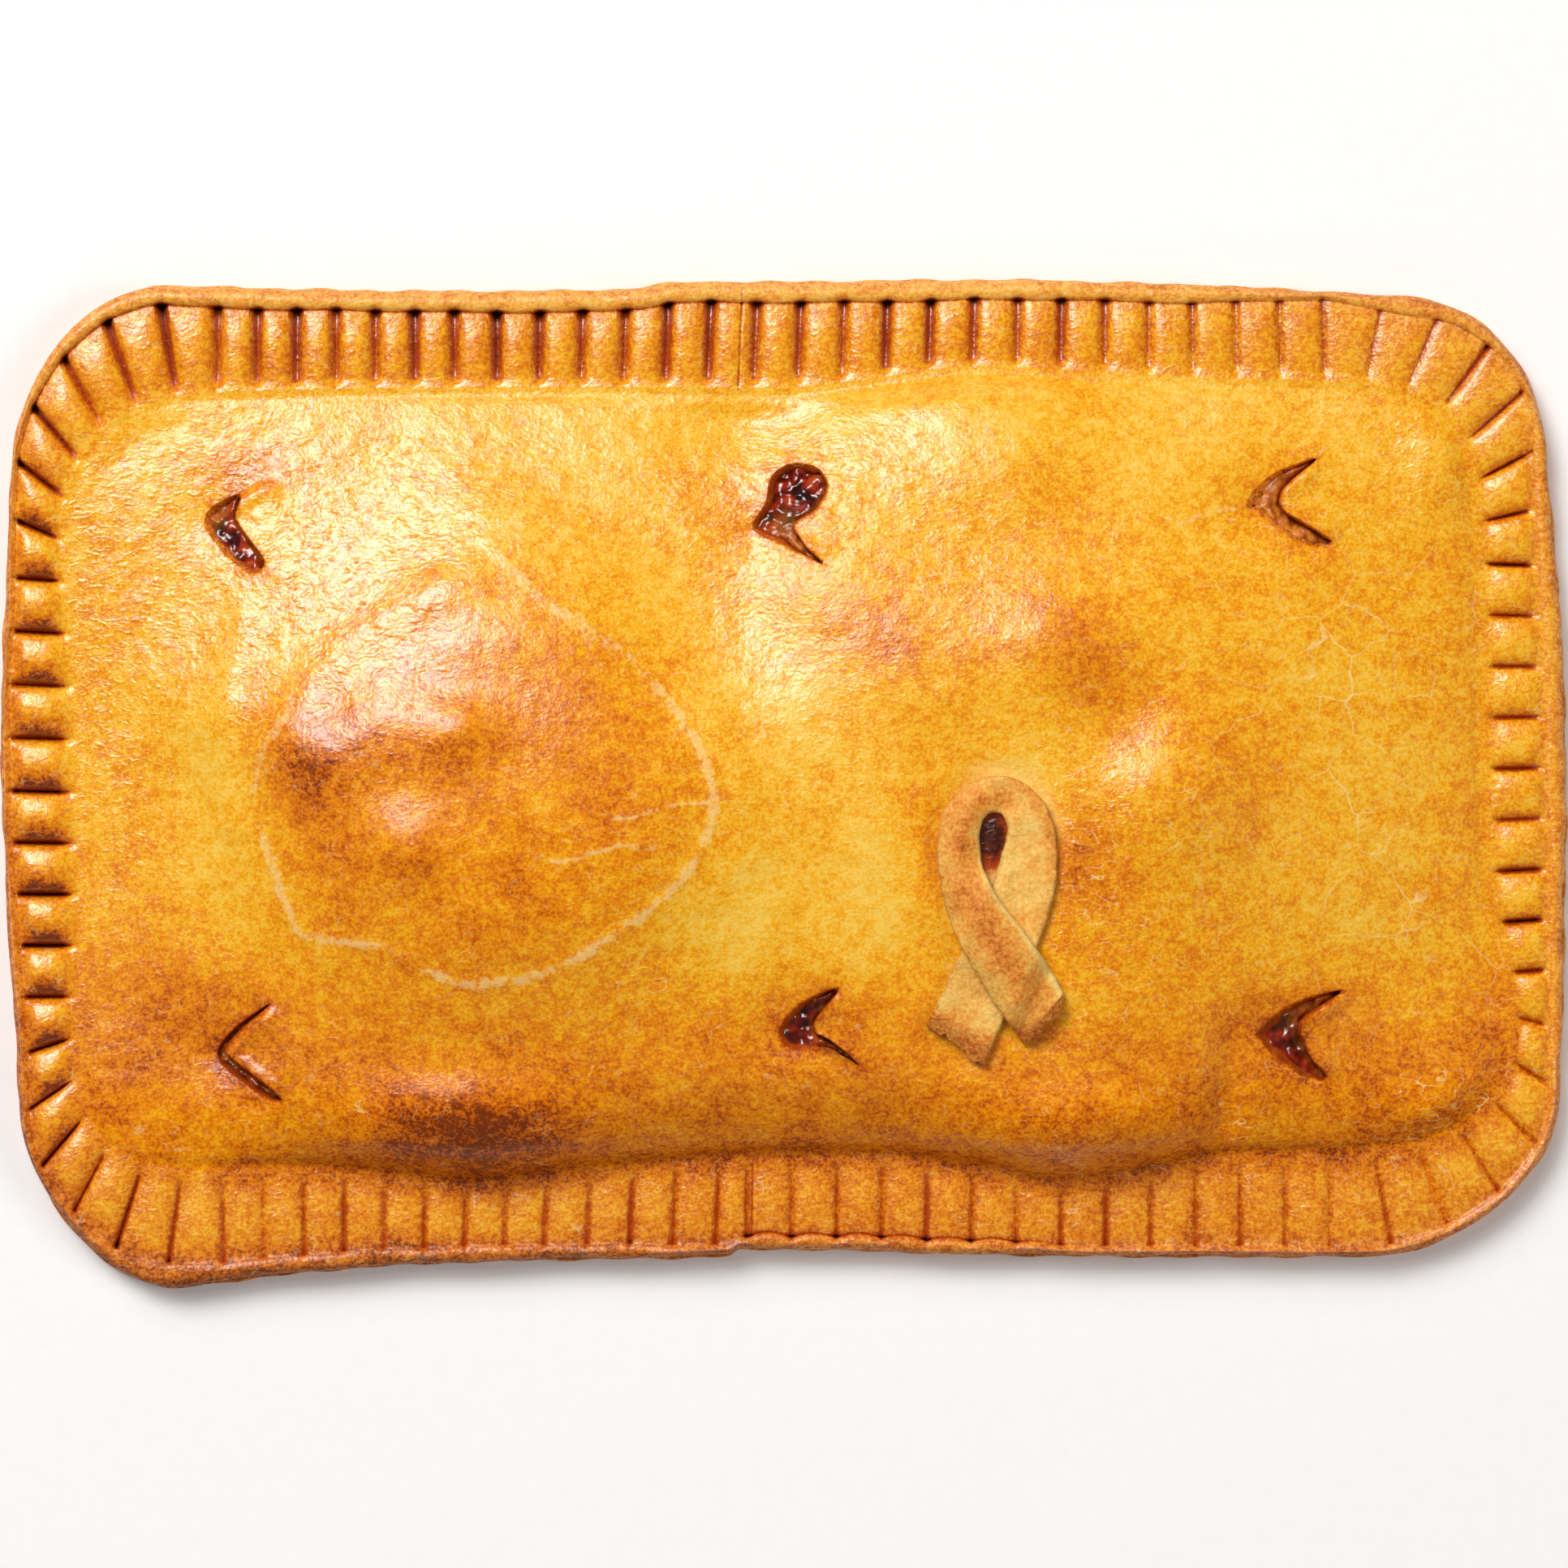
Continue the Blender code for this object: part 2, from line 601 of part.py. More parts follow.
def cover_over(line, places):
    """How far a strip along a line lifts another that lies across it, at each place."""
    away = np.linalg.norm(places[:, None, :] - line[None, :, :2], axis=2)
    reach = (line[:, 2] / 2 + LOOP_COVER_MARGIN)[None, :] - away
    return (LOOP_THICK + GAP) * eased(reach.max(axis=1) / LOOP_COVER_MARGIN)


def dough_loop():
    """The crossed strip of dough, laid on the lid and over itself."""
    line, run = loop_stations()
    under = line[len(line) // 2 :]
    front_part = LOOP_STEPS * LOOP_CROSSING
    side, rise = np.array(LOOP_PROFILE).T
    bm = bmesh.new()
    rings = []
    for number, (station, way) in enumerate(zip(line, run)):
        square = np.array([way[1], -way[0]])
        places = station[:2] + (side * station[2] / 2)[:, None] * square
        lift = cover_over(under, places) * eased((front_part - number) / LOOP_STEPS)
        points = at_height(places, lid_top(places) + GAP + rise * LOOP_THICK + lift)
        rings.append(next_ring(bm, rings[-1], points) if rings else first_ring(bm, points))
    fill_ring(bm, rings[0])
    fill_ring(bm, rings[-1])
    close_up(bm)
    return bm


def build():
    """Clears the scene and makes the empanada."""
    for old in list(bpy.data.objects):
        bpy.data.objects.remove(old)
    pie = bpy.data.objects.new("tuna_empanada", None)
    bpy.context.scene.collection.objects.link(pie)
    add_object("base_sheet", base_sheet(), material("baked base", BASE_COLOUR, 0.7), pie)
    add_object("filling", filling_mound(), material("tuna filling", FILLING_COLOUR, 0.3), pie)
    lid = add_object("lid_sheet", crimped_lid(), material("glazed crust", CRUST_COLOUR, 0.4), pie)
    cut_vents(lid)
    add_object("dough_loop", dough_loop(), material("plain dough", LOOP_COLOUR, 0.7), pie)


build()
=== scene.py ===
"""A baked tuna empanada seen from straight above: an uneven golden lid with a crimped rim, six slit
vents over a dark glossy filling, a dry base sheet and a crossed loop of plain dough. Metres, +Z up,
front of the pie towards -Y."""

import math

import bmesh
import bpy
import numpy as np
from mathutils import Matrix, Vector, geometry, noise


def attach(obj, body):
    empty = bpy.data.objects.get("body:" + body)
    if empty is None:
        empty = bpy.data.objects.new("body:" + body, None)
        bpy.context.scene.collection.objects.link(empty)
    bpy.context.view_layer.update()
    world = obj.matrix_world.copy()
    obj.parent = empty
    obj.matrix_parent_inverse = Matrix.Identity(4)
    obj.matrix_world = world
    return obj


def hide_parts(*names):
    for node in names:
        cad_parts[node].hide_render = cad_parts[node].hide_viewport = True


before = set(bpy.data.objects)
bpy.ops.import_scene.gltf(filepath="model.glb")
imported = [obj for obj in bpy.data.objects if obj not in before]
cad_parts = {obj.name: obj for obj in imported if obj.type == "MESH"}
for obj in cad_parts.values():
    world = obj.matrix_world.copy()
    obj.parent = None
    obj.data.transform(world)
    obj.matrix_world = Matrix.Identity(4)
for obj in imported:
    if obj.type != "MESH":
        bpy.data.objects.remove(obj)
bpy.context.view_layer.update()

MM = 0.001

# Thickness of the two sheets of dough, and the gap kept between pieces that touch
BASE_THICK = 2.8 * MM
LID_THICK = 3.0 * MM
GAP = 0.3 * MM

# Four sides of the base sheet seen from above, in millimetres, going round anticlockwise from the
# front left corner. Round corners join them.
FRONT_EDGE = (
    (-115, -96.4), (-100, -94.6), (-80, -92.6), (-54, -91.4), (-10.5, -90.5),
    (-8.5, -89.3), (12, -89.4), (40, -90.2), (70, -90.6), (112, -90.6),
)
RIGHT_EDGE = ((148.4, -61), (149.2, -40), (149.8, 0), (149.0, 26), (147.6, 45), (146.0, 63))
BACK_EDGE = (
    (120, 93.2), (100, 94.6), (70, 95.9), (40, 96.6), (0, 96.2), (-20, 96.1),
    (-28, 95.1), (-36, 94.6), (-72, 94.5), (-100, 95.0), (-118, 95.5),
)
LEFT_EDGE = ((-147.8, 62), (-149.5, 26), (-149.9, 5), (-148.9, -20), (-147, -50), (-146.2, -63))
EDGE_CORNERS = (0.32, 0.40, 0.34, 0.32)

# The line where the crimps end and the lid starts to rise
FRONT_FOOT = (
    (-107.1, -74.0), (-88, -73.7), (-75, -75.0), (-58, -76.5), (-41, -74.5), (-21, -72.5),
    (-7, -71.4), (21, -71.4), (36, -73.7), (52, -76.5), (67, -74.5), (83, -71.4), (104, -70.9),
)
RIGHT_FOOT = ((138, -36), (134.6, -21), (133.5, -2), (133.0, 13), (132.8, 29), (132.4, 42))
BACK_FOOT = (
    (103, 76.5), (78, 77.3), (52, 78.8), (33, 79.3), (18.5, 77.3), (1.5, 75.4),
    (-22, 75.4), (-55, 75.4), (-86, 75.1), (-108, 74.5),
)
LEFT_FOOT = ((-136.6, 38.6), (-134.5, 18), (-134.2, -1.6), (-133.8, -21.5), (-134.6, -40.5))
FOOT_CORNERS = (0.53, 0.60, 0.50, 0.60)
CURVE_STEPS = 16
CURVE_REACH = 0.333

# Crimps are numbered anticlockwise from the front left: 0 to 26 along the front, 33 to 41 up the
# right end, 48 to 74 along the back, 81 to 89 down the left end, and a fan round each corner
CRIMPS = 96
STOPS = (
    (0, "front", -106.9), (8, "front", -45.5), (12, "front", -12.3), (13, "front", -6.8),
    (26, "front", 104.0), (33, "right", -36.0), (41, "right", 41.9),
    (48, "back", 103.0), (61, "back", -5.5), (62, "back", -14.1), (68, "back", -62.1),
    (74, "back", -107.8), (81, "left", 38.6), (85, "left", -1.6), (89, "left", -41.2),
)
# Crimp numbers at the middle of the fans
FRONT_RIGHT_FAN = 29.5
BACK_RIGHT_FAN = 44.5
BACK_LEFT_FAN = 77.5
FRONT_LEFT_FAN = 92.5

# Along the rim, as crimp number and millimetres (or a plain number)
BEAD_WIDTH = (
    (0, 4.2), (13, 3.0), (26, 2.6), (33, 3.6), (37, 4.8), (41, 4.4), (44, 2.8), (46.5, 4.4),
    (48, 2.2), (51, 4.0), (61, 4.4), (74, 4.3), (77, 3.3), (79, 2.4), (85, 2.4), (89, 2.9),
    (92, 2.6), (94, 4.2), (95, 5.6), (96, 4.2),
)
GROOVE_DEPTH = (
    (0, 0.7), (12, 0.75), (20, 0.75), (26, 0.65), (30, 1.1), (33, 1.5), (41, 1.3), (44, 1.6),
    (46, 0.4), (48.5, 0.5), (50, 0.9), (54, 1.7), (74, 2.1), (81, 2.3), (89, 2.3), (92, 1.6),
    (95, 0.9), (96, 0.9),
)
GROOVE_HALF_WIDTH = (
    (0, 0.55), (26, 0.55), (31, 0.6), (41, 0.55), (44, 0.7), (48, 0.7), (54, 1.05), (74, 1.05),
    (78, 0.8), (81, 0.55), (89, 0.5), (92, 0.5), (96, 0.55),
)
GROOVE_FLATNESS = ((0, 1.6), (46, 1.6), (52, 3.0), (76, 3.0), (80, 1.7), (96, 1.6))
PAD_SWELL = (
    (0, 0.5), (26, 0.5), (31, 1.0), (41, 1.2), (46, 0.6), (60, 0.8), (74, 0.9), (79, 1.5),
    (82, 2.0), (89, 2.0), (91, 1.5), (94, 0.8), (95, 0.5), (96, 0.5),
)
CREASE_DEPTH = (
    (0, 0), (12.8, 0), (13, 0.5), (19, 0.45), (20.5, 0), (44, 0), (48, 0.15), (52, 0.3),
    (78, 0.35), (80, 0.15), (84, 0.05), (92, 0.05), (95, 0), (96, 0),
)
CREASE_SCALLOP = (
    (0, 0), (13, 0), (13.2, 0.9), (19, 0.6), (20.5, 0), (50, 0), (53, 0.25), (76, 0.25), (80, 0),
    (96, 0),
)

# The rim's look, as crimp number and 0 to 1: how brown the bead and the pads are, how dark the
# syrup in the grooves is
BEAD_BAKE = (
    (0, 0.78), (12, 0.70), (16, 0.62), (26, 0.66), (32, 0.50), (41, 0.48), (46, 0.50), (54, 0.36),
    (72, 0.36), (78, 0.48), (84, 0.60), (90, 0.68), (96, 0.78),
)
PAD_BAKE = (
    (0, 0.50), (6, 0.46), (14, 0.54), (26, 0.52), (33, 0.36), (41, 0.32), (46, 0.48), (54, 0.44),
    (72, 0.46), (77, 0.48), (84, 0.42), (92, 0.50), (96, 0.44),
)
GROOVE_STAIN = (
    (0, 0.45), (6, 0.5), (20, 0.5), (26, 0.4), (31, 0.5), (34, 0.75), (41, 0.75), (45, 0.75),
    (47, 0.4), (52, 0.52), (56, 0.62), (76, 0.66), (80, 0.9), (90, 0.9), (94, 0.7), (96, 0.45),
)
STAIN_HALF_WIDTH = (
    (0, 0.95), (26, 0.95), (31, 0.8), (41, 0.6), (46, 0.8), (52, 1.2), (74, 1.3), (78, 0.9),
    (81, 0.6), (90, 0.55), (96, 0.95),
)
# How much each of the four sides has of what only that side shows, 0 to 1
RIGHT_END = ((29, 0), (32, 1), (42, 1), (44.5, 0))
BACK_SIDE = ((45, 0), (48, 1), (76, 1), (79, 0))
LEFT_END = ((78, 0), (80, 1), (90, 1), (93, 0))

# Heights of the rim above the tray
BEAD_TOP = 7.4 * MM
PAD_TOP = 6.7 * MM
FOOT_TOP = 7.0 * MM
LID_SET_IN = 0.6 * MM

# The lid between the crimps: a pillow that rises steeply at the front and gently elsewhere
RISE = 17.0 * MM
PILLOW_LEFT = (-136 * MM, 82 * MM)
PILLOW_RIGHT = (135 * MM, 74 * MM)
STEEPNESS_OF_ENDS = 0.35
BACK_SLOPE = 90 * MM
FRONT_SHOULDER = 20 * MM
FRONT_SLOPE = 70 * MM
STEEPNESS_OF_SLOPE = 0.6
SHARE_OF_SHOULDER = 0.6
FILLET = 3 * MM

# Swellings and hollows of the lid, in millimetres: x, y, half length, half width, height, and a
# flatness above 1 where the top is flat. The last six are where the lid sags at the vents
SWELLINGS = (
    (-56, 1, 46, 42, 6.2, 2.0), (-89, 5, 11, 9, 1.8), (-63, 9, 8, 7, 0.9), (-72, -10, 8, 7, 0.9),
    (-62, -66, 24, 10, 4.0, 1.2), (-98, 30, 26, 20, 1.5), (-8, 50, 14, 48, -3.4),
    (22, 24, 22, 18, 2.2), (52, 27, 20, 15, 2.4), (74, -1, 13, 13, 3.0), (64, 12, 9, 9, -1.4),
    (28, 60, 30, 12, 2.6), (56, -67, 24, 9, 3.6, 1.2), (84, -62, 4, 11, -1.6),
    (122, -60, 16, 12, 2.4), (128, 61, 10, 10, 2.0), (112, 0, 22, 40, 1.0),
    (-110.8, 50.4, 8, 8, -1.2), (-5.7, 48.4, 8, 8, -1.2), (88.9, 52.6, 8, 8, -1.2),
    (-107.7, -51.6, 8, 8, -1.2), (-0.8, -46.7, 8, 8, -1.2), (90.3, -47.2, 8, 8, -1.2),
)
SWELLING_EDGE = 7 * MM

# Vents, in millimetres: the opening's outline, the middle line of the cut from the end of the upper
# arm over the point to the end of the lower arm, how far the flap stands up, how wet the filling is
# there, where and how far it has dried, how far the cut slopes in, and how stained its lip is
VENTS = (
    dict(
        opening=(
            (-103.3, 54.9), (-108.3, 52.7), (-109.9, 50.0), (-107.9, 45.9), (-101.3, 39.9),
            (-98.4, 41.9), (-101.4, 46.6), (-103.9, 50.5),
        ),
        cut=((-96.2, 58.3), (-104.1, 54.3), (-108.5, 50.3), (-99.3, 40.7)),
        flap=0.5, wet=0.9, dry=(-108.5, 52, 2.5), slope=0.35, lip=0.32,
    ),
    dict(
        opening=(
            (-5.8, 48.3), (-3.4, 53.2), (-2.3, 58.2), (1.4, 60.6), (6.0, 59.8), (8.2, 56.3),
            (6.0, 51.8), (2.0, 49.0), (3.9, 45.0), (7.3, 41.6), (-0.3, 45.5),
        ),
        cut=((4.0, 57.0), (-5.0, 48.4), (7.1, 41.9)),
        flap=0.3, wet=1.0, dry=(0.5, 45, 4.5), slope=0.25, lip=0.42,
    ),
    dict(
        opening=(
            (101.1, 61.8), (92.8, 58.7), (87.9, 53.1), (91.9, 49.9), (98.1, 45.6), (104.3, 45.4),
            (100.0, 48.6), (95.3, 51.6), (94.4, 54.7), (96.6, 57.7),
        ),
        cut=((100.9, 61.7), (90.1, 52.9), (104.7, 45.3)),
        flap=0.5, wet=0.25, dry=(96, 52, 12), slope=0.6, lip=0.15,
    ),
    dict(
        opening=(
            (-97.1, -41.6), (-104.0, -46.2), (-107.4, -50.6), (-105.9, -53.9), (-99.2, -58.8),
            (-95.2, -59.9), (-100.2, -55.4), (-104.2, -52.6), (-106.0, -50.4), (-103.3, -46.9),
        ),
        cut=((-96.8, -41.5), (-106.8, -51.4), (-95.0, -59.9)),
        flap=0.7, wet=0.4, dry=(-99, -44, 6), slope=0.4, lip=0.45,
    ),
    dict(
        opening=(
            (10.3, -38.4), (3.0, -41.5), (-0.7, -46.3), (0.5, -49.5), (4.5, -50.1), (8.3, -49.7),
            (14.2, -52.9), (8.6, -48.3), (6.1, -46.9), (6.2, -44.2),
        ),
        cut=((10.4, -38.4), (0.6, -47.4), (14.2, -53.0)),
        flap=0.3, wet=0.8, dry=(11.5, -51.5, 4), slope=0.3, lip=0.42,
    ),
    dict(
        opening=(
            (105.9, -39.1), (96.6, -41.5), (90.0, -46.5), (90.2, -48.5), (96.6, -54.3),
            (102.9, -56.0), (99.6, -51.3), (97.7, -46.5), (98.9, -43.9),
        ),
        cut=((106.1, -39.1), (91.1, -47.5), (103.1, -56.1)),
        flap=0.7, wet=0.9, dry=(101, -41.5, 5), slope=0.35, lip=0.32,
    ),
)

CUT_REACH = 40 * MM
# How far the lips of a cut are rounded, and how much its side on the flap slopes in
CUT_ROUNDING = 0.28 * MM
FLAP_SLOPE = 0.06

# Pocket for the filling under the lid: the levels of its floor and of the top of its wall
POCKET_FLOOR = BASE_THICK + GAP
POCKET_ROOF = POCKET_FLOOR + 1.2 * MM
POCKET_INSET = 2.5 * MM
POCKET_COLUMNS = 144
POCKET_TAPER = 0.05 * MM
FILLING_CLEARANCE = 0.4 * MM
FILLING_SHOULDER = 4.0 * MM
# Room between the last ring of a pocket wall and the grid that closes it
GRID_BORDER = 1 * MM

# Angles in degrees past which an edge stays crisp
CRISP = 50
CRISP_AT_WALL = 60

# The crossed loop: middle line from the end of the front tail up the left side, over the top, down
# the right side and under itself to the back tail, in millimetres, with its width at each point
LOOP_LINE = (
    (49.0, -44.6, 11.4), (44.6, -37.8, 12.4), (39.6, -30.2, 11.8), (35.0, -22.0, 9.6),
    (32.8, -13.5, 8.2), (33.6, -6.0, 7.4), (37.6, -2.2, 6.8), (43.0, -2.9, 7.2), (46.2, -8.4, 9.0),
    (45.6, -17.0, 11.4), (43.0, -25.6, 12.2), (39.2, -33.4, 12.4), (32.6, -48.4, 13.2),
)
LOOP_THICK = 3.2 * MM
LOOP_CROSSING = 5
LOOP_STEPS = 24
LOOP_COVER_MARGIN = 4.5 * MM

# Columns of each crimp, as parts of the way to the next one, and more where the two seams cross
CRIMP_COLUMNS = (0, 0.04, 0.08, 0.13, 0.2, 0.35, 0.5, 0.65, 0.8, 0.87, 0.92, 0.96)
BACK_SEAM = 61.33
FRONT_SEAM = 13.12
SEAM_COLUMNS = (-0.06, -0.03, 0, 0.03, 0.06)
SEAM_HALF_WIDTH = 0.028
SEAM_CLEARANCE = 0.035

# Cells of the lid between the crimps, of its underside and of the filling
LID_CELLS = (284, 160)
LID_INSET = 0.9 * MM
ROOF_CELLS = (60, 34)
FILLING_CELLS = (124, 70)
# How far round the vents the cells are split
LID_FINE_REACH = 4.5 * MM
FILLING_FINE_REACHES = (4 * MM, 3 * MM, 2 * MM)

# The crease round the blister
CREASE_RING = (
    (-56, 46), (-48, 37.5), (-41, 32), (-31, 25), (-22, 16), (-15.5, 6), (-13, -4), (-15.5, -12),
    (-20.5, -19.5), (-30, -27), (-42, -34), (-53, -37), (-60.5, -37.4), (-68, -34.6), (-75, -31),
    (-85, -29.3), (-91, -28), (-95, -19.5), (-98.5, -9.5), (-100.5, -3), (-98, 6), (-93, 15),
)
# Soft folds of the lid: line, height and half width in millimetres
FOLDS = (
    (((-50, 41), (-65, 36.5), (-77, 29.5), (-87, 21), (-93, 11), (-96, 2)), 1.0, 4.2),
    (((-100, 40), (-104, 25), (-106, 10), (-105, -4), (-100, -16)), 0.5, 3.0),
    (((-20, 20), (-12, 8), (-8, -6), (-6, -20)), 0.4, 4.0),
)
# Low swells on top of the plain ones: x, y, half length, half width and height in millimetres
SWELLS = (
    (-108, 13, 12, 10, 1.9), (-111, 34, 13, 11, -0.7), (-88, 5, 9, 8, 0.9), (-76, 14, 8, 10, 1.5),
    (-79, 25, 13, 13, -1.7), (-56, 19, 17, 6, -0.8), (-61, 11, 6, 5, 1.1), (-70, -12, 6, 6, 1.0),
    (-55, 50, 10, 10, 1.2), (-107, 50, 14, 12, 1.1), (-127, 72, 14, 11, -1.3),
    (-8, 51, 15, 12, 2.2), (7, 40, 19, 13, 1.7), (-24, 28, 11, 19, -2.4), (-1, 10, 10, 14, 0.6),
    (32, 73, 17, 8, 2.1), (45, 65, 9, 13, 1.6), (52, 30, 12, 10, 0.9), (84, -58, 3, 12, -0.7),
    (126, -64, 7, 6, 1.0), (40, -16, 20, 22, 0.4),
)
# Where the lid is crumpled along its foot, in the same way
CRUMPLED = ((52, -71, 16, 5, 1.0), (-50, -72, 26, 4, 0.5))
# Splits of the lid's skin, as lines in millimetres
SPLITS = (
    ((-37.4, 28), (-33.8, 20.5)), ((-14.5, -3.6), (-22, -4.2), (-29, -6.4), (-36, -5)),
    ((-20.5, -13), (-30, -11.5), (-41, -14.5), (-48, -12.5)),
    ((85.5, 52.2), (79.5, 51.2), (75.5, 49.4), (72.5, 50.2)),
)

rng = np.random.default_rng(41)
DEPTH_OF_CRIMP = 1 + 0.16 * rng.standard_normal(CRIMPS)
LEAN_OF_PAD = 0.14 * MM * rng.standard_normal(CRIMPS)
STAIN_OF_CRIMP = np.clip(1 + 0.14 * rng.standard_normal(CRIMPS), 0.6, 1.25)


def eased(value):
    """0 below 0, 1 above 1, and a curve with no kink at either end between them."""
    held = np.clip(value, 0, 1)
    return held * held * (3 - 2 * held)


def hump(distance, reach):
    """1 at no distance, falling away like a bell over the reach."""
    return np.exp(-((distance / reach) ** 2))


def bells(places, table):
    """Sum of the bumps in a table: x, y, half length and half width in millimetres, height, and a
    flatness above 1 where the top is flat."""
    x, y = places.T / MM
    total = np.zeros(len(places))
    for middle_x, middle_y, half_x, half_y, height, *flatness in table:
        away = ((x - middle_x) / half_x) ** 2 + ((y - middle_y) / half_y) ** 2
        total += height * np.exp(-(away ** (flatness or [1])[0]))
    return total


def unit(steps):
    """Each step at length 1."""
    return steps / np.linalg.norm(steps, axis=1)[:, None]


def left_of(steps):
    """The direction square to each step, on its left."""
    return unit(np.column_stack([-steps[:, 1], steps[:, 0]]))


def side_with_slopes(points):
    """Points of one side in metres, and the direction of the side at each of them."""
    side = np.array(points) * MM
    slopes = np.empty_like(side)
    slopes[1:-1] = side[2:] - side[:-2]
    slopes[0] = side[1] - side[0]
    slopes[-1] = side[-1] - side[-2]
    return side, unit(slopes)


def curve_between(start, leaving, end, arriving, reach):
    """Points of a smooth curve from start up to, but without, end."""
    corners = (start, start + leaving * reach, end - arriving * reach, end)
    knots = [Vector((x, y, 0)) for x, y in corners]
    points = geometry.interpolate_bezier(*knots, CURVE_STEPS + 1)
    return [point.to_2d() for point in points[:-1]]


def closed_outline(sides, fullness):
    """Points all round four sides that are joined by round corners."""
    outline = []
    ready = [side_with_slopes(side) for side in sides]
    for number, (side, slopes) in enumerate(ready):
        for i in range(len(side) - 1):
            reach = np.linalg.norm(side[i + 1] - side[i]) * CURVE_REACH
            outline += curve_between(side[i], slopes[i], side[i + 1], slopes[i + 1], reach)
        following, following_slopes = ready[(number + 1) % len(ready)]
        reach = np.linalg.norm(following[0] - side[-1]) * fullness[number]
        outline += curve_between(side[-1], slopes[-1], following[0], following_slopes[0], reach)
    return np.array(outline)


def nearest_stop(outline, side, place):
    """The number of the outline's point that lies on a side at the given place along it."""
    along, outward, sign = {
        "front": (0, 1, -1), "back": (0, 1, 1), "left": (1, 0, -1), "right": (1, 0, 1),
    }[side]
    miss = np.abs(outline[:, along] - place * MM)
    miss[outline[:, outward] * sign < 0] = np.inf
    return int(miss.argmin())


def crimp_track(outline):
    """A function that gives the places on a closed outline for an array of crimp numbers."""
    closed = np.vstack([outline, outline[:1]])
    run = np.concatenate([[0], np.cumsum(np.linalg.norm(np.diff(closed, axis=0), axis=1))])
    numbers = [number for number, _, _ in STOPS] + [CRIMPS]
    reached = [run[nearest_stop(outline, side, place)] for _, side, place in STOPS]
    reached.append(reached[0] + run[-1])

    def place(crimp):
        along = np.interp(np.mod(crimp, CRIMPS), numbers, reached) % run[-1]
        return np.column_stack([np.interp(along, run, level) for level in closed.T])

    return place


def read_table(table, crimp):
    """Reads a rim table at an array of crimp numbers."""
    numbers, values = zip(*table)
    return np.interp(np.mod(crimp, CRIMPS), numbers, values)


def along_rim(table, crimp):
    """Reads a rim table of millimetres at an array of crimp numbers, in metres."""
    return read_table(table, crimp) * MM


EDGE_LINE = closed_outline((FRONT_EDGE, RIGHT_EDGE, BACK_EDGE, LEFT_EDGE), EDGE_CORNERS)
FOOT_LINE = closed_outline((FRONT_FOOT, RIGHT_FOOT, BACK_FOOT, LEFT_FOOT), FOOT_CORNERS)
edge_at = crimp_track(EDGE_LINE)
foot_at = crimp_track(FOOT_LINE)


def inward_from_edge(crimp, distance):
    """Places a distance in from the edge of the base sheet, towards the foot of the lid."""
    edge = edge_at(crimp)
    return edge + unit(foot_at(crimp) - edge) * np.reshape(distance, (-1, 1))


def inward_from_foot(crimp, distance):
    """Places a distance in from the foot of the lid, square to it."""
    step = 0.05
    return foot_at(crimp) + left_of(foot_at(crimp + step) - foot_at(crimp - step)) * distance


def curve_through(knots, slopes, steps):
    """Points of a smooth curve through knots, up to but without the last, with a slope at each."""
    part = (np.arange(steps) / steps)[:, None]
    stretches = []
    for start, leaving, end, arriving in zip(knots, slopes, knots[1:], slopes[1:]):
        stretch = start * (2 * part**3 - 3 * part**2 + 1) + end * (3 * part**2 - 2 * part**3)
        stretch += leaving * (part**3 - 2 * part**2 + part) + arriving * (part**3 - part**2)
        stretches.append(stretch)
    return np.vstack(stretches)


def smooth_line(points, steps, closed=False):
    """A smooth line through points given in millimetres."""
    knots = np.array(points, float) * MM
    if closed:
        knots = np.vstack([knots[-1:], knots, knots[:2]])
    else:
        knots = np.vstack([2 * knots[:1] - knots[1:2], knots, 2 * knots[-1:] - knots[-2:-1]])
    line = curve_through(knots[1:-1], (knots[2:] - knots[:-2]) / 2, steps)
    return line if closed else np.vstack([line, knots[-2:-1]])


def distance_to_line(places, line):
    """Distance of each place from a line of short steps, and how far along the line it is."""
    start, step = line[:-1], np.diff(line, axis=0)
    size = np.maximum((step**2).sum(axis=1), 1e-18)
    nearest, along = [], []
    for some in np.array_split(places, max(1, len(places) // 4000)):
        away = some[:, None, :] - start[None, :, :]
        part = np.clip((away * step).sum(axis=2) / size, 0, 1)
        away -= part[:, :, None] * step
        square = (away**2).sum(axis=2)
        best = square.argmin(axis=1)
        rows = np.arange(len(some))
        nearest.append(np.sqrt(square[rows, best]))
        along.append((best + part[rows, best]) / len(step))
    return np.concatenate(nearest), np.concatenate(along)


def inside_outline(places, line):
    """Whether each place lies within a closed outline."""
    x, y = places.T
    held = np.zeros(len(places), bool)
    for (ax, ay), (bx, by) in zip(line, np.roll(line, -1, axis=0)):
        if ay == by:
            continue
        crosses = (ay > y) != (by > y)
        held ^= crosses & (x < (bx - ax) * (y - ay) / (by - ay) + ax)
    return held


def lumps(places, size, height, seed):
    """Soft random lumps of a size, as heights about zero."""
    spots = np.column_stack([places / size, np.full(len(places), seed * 7.3)])
    return height * np.array([noise.noise(spot) for spot in spots.tolist()])


FOOT_PATH = np.vstack([FOOT_LINE, FOOT_LINE[:1]])
RING_PATH = smooth_line(CREASE_RING, 6)
SPLIT_PATHS = [smooth_line(split, 5) for split in SPLITS]
FOLD_PATHS = [smooth_line(fold, 6) for fold, _, _ in FOLDS]
CUT_PATHS = [np.array(vent["cut"]) * MM for vent in VENTS]


def rise_over(distance, width, steepness=1.0):
    """A flank that levels out over a width. It starts steep at steepness 1 and level at 0."""
    held = np.clip(distance / width, 0, 1)
    return steepness * (1 - (1 - held) ** 2) + (1 - steepness) * eased(held)


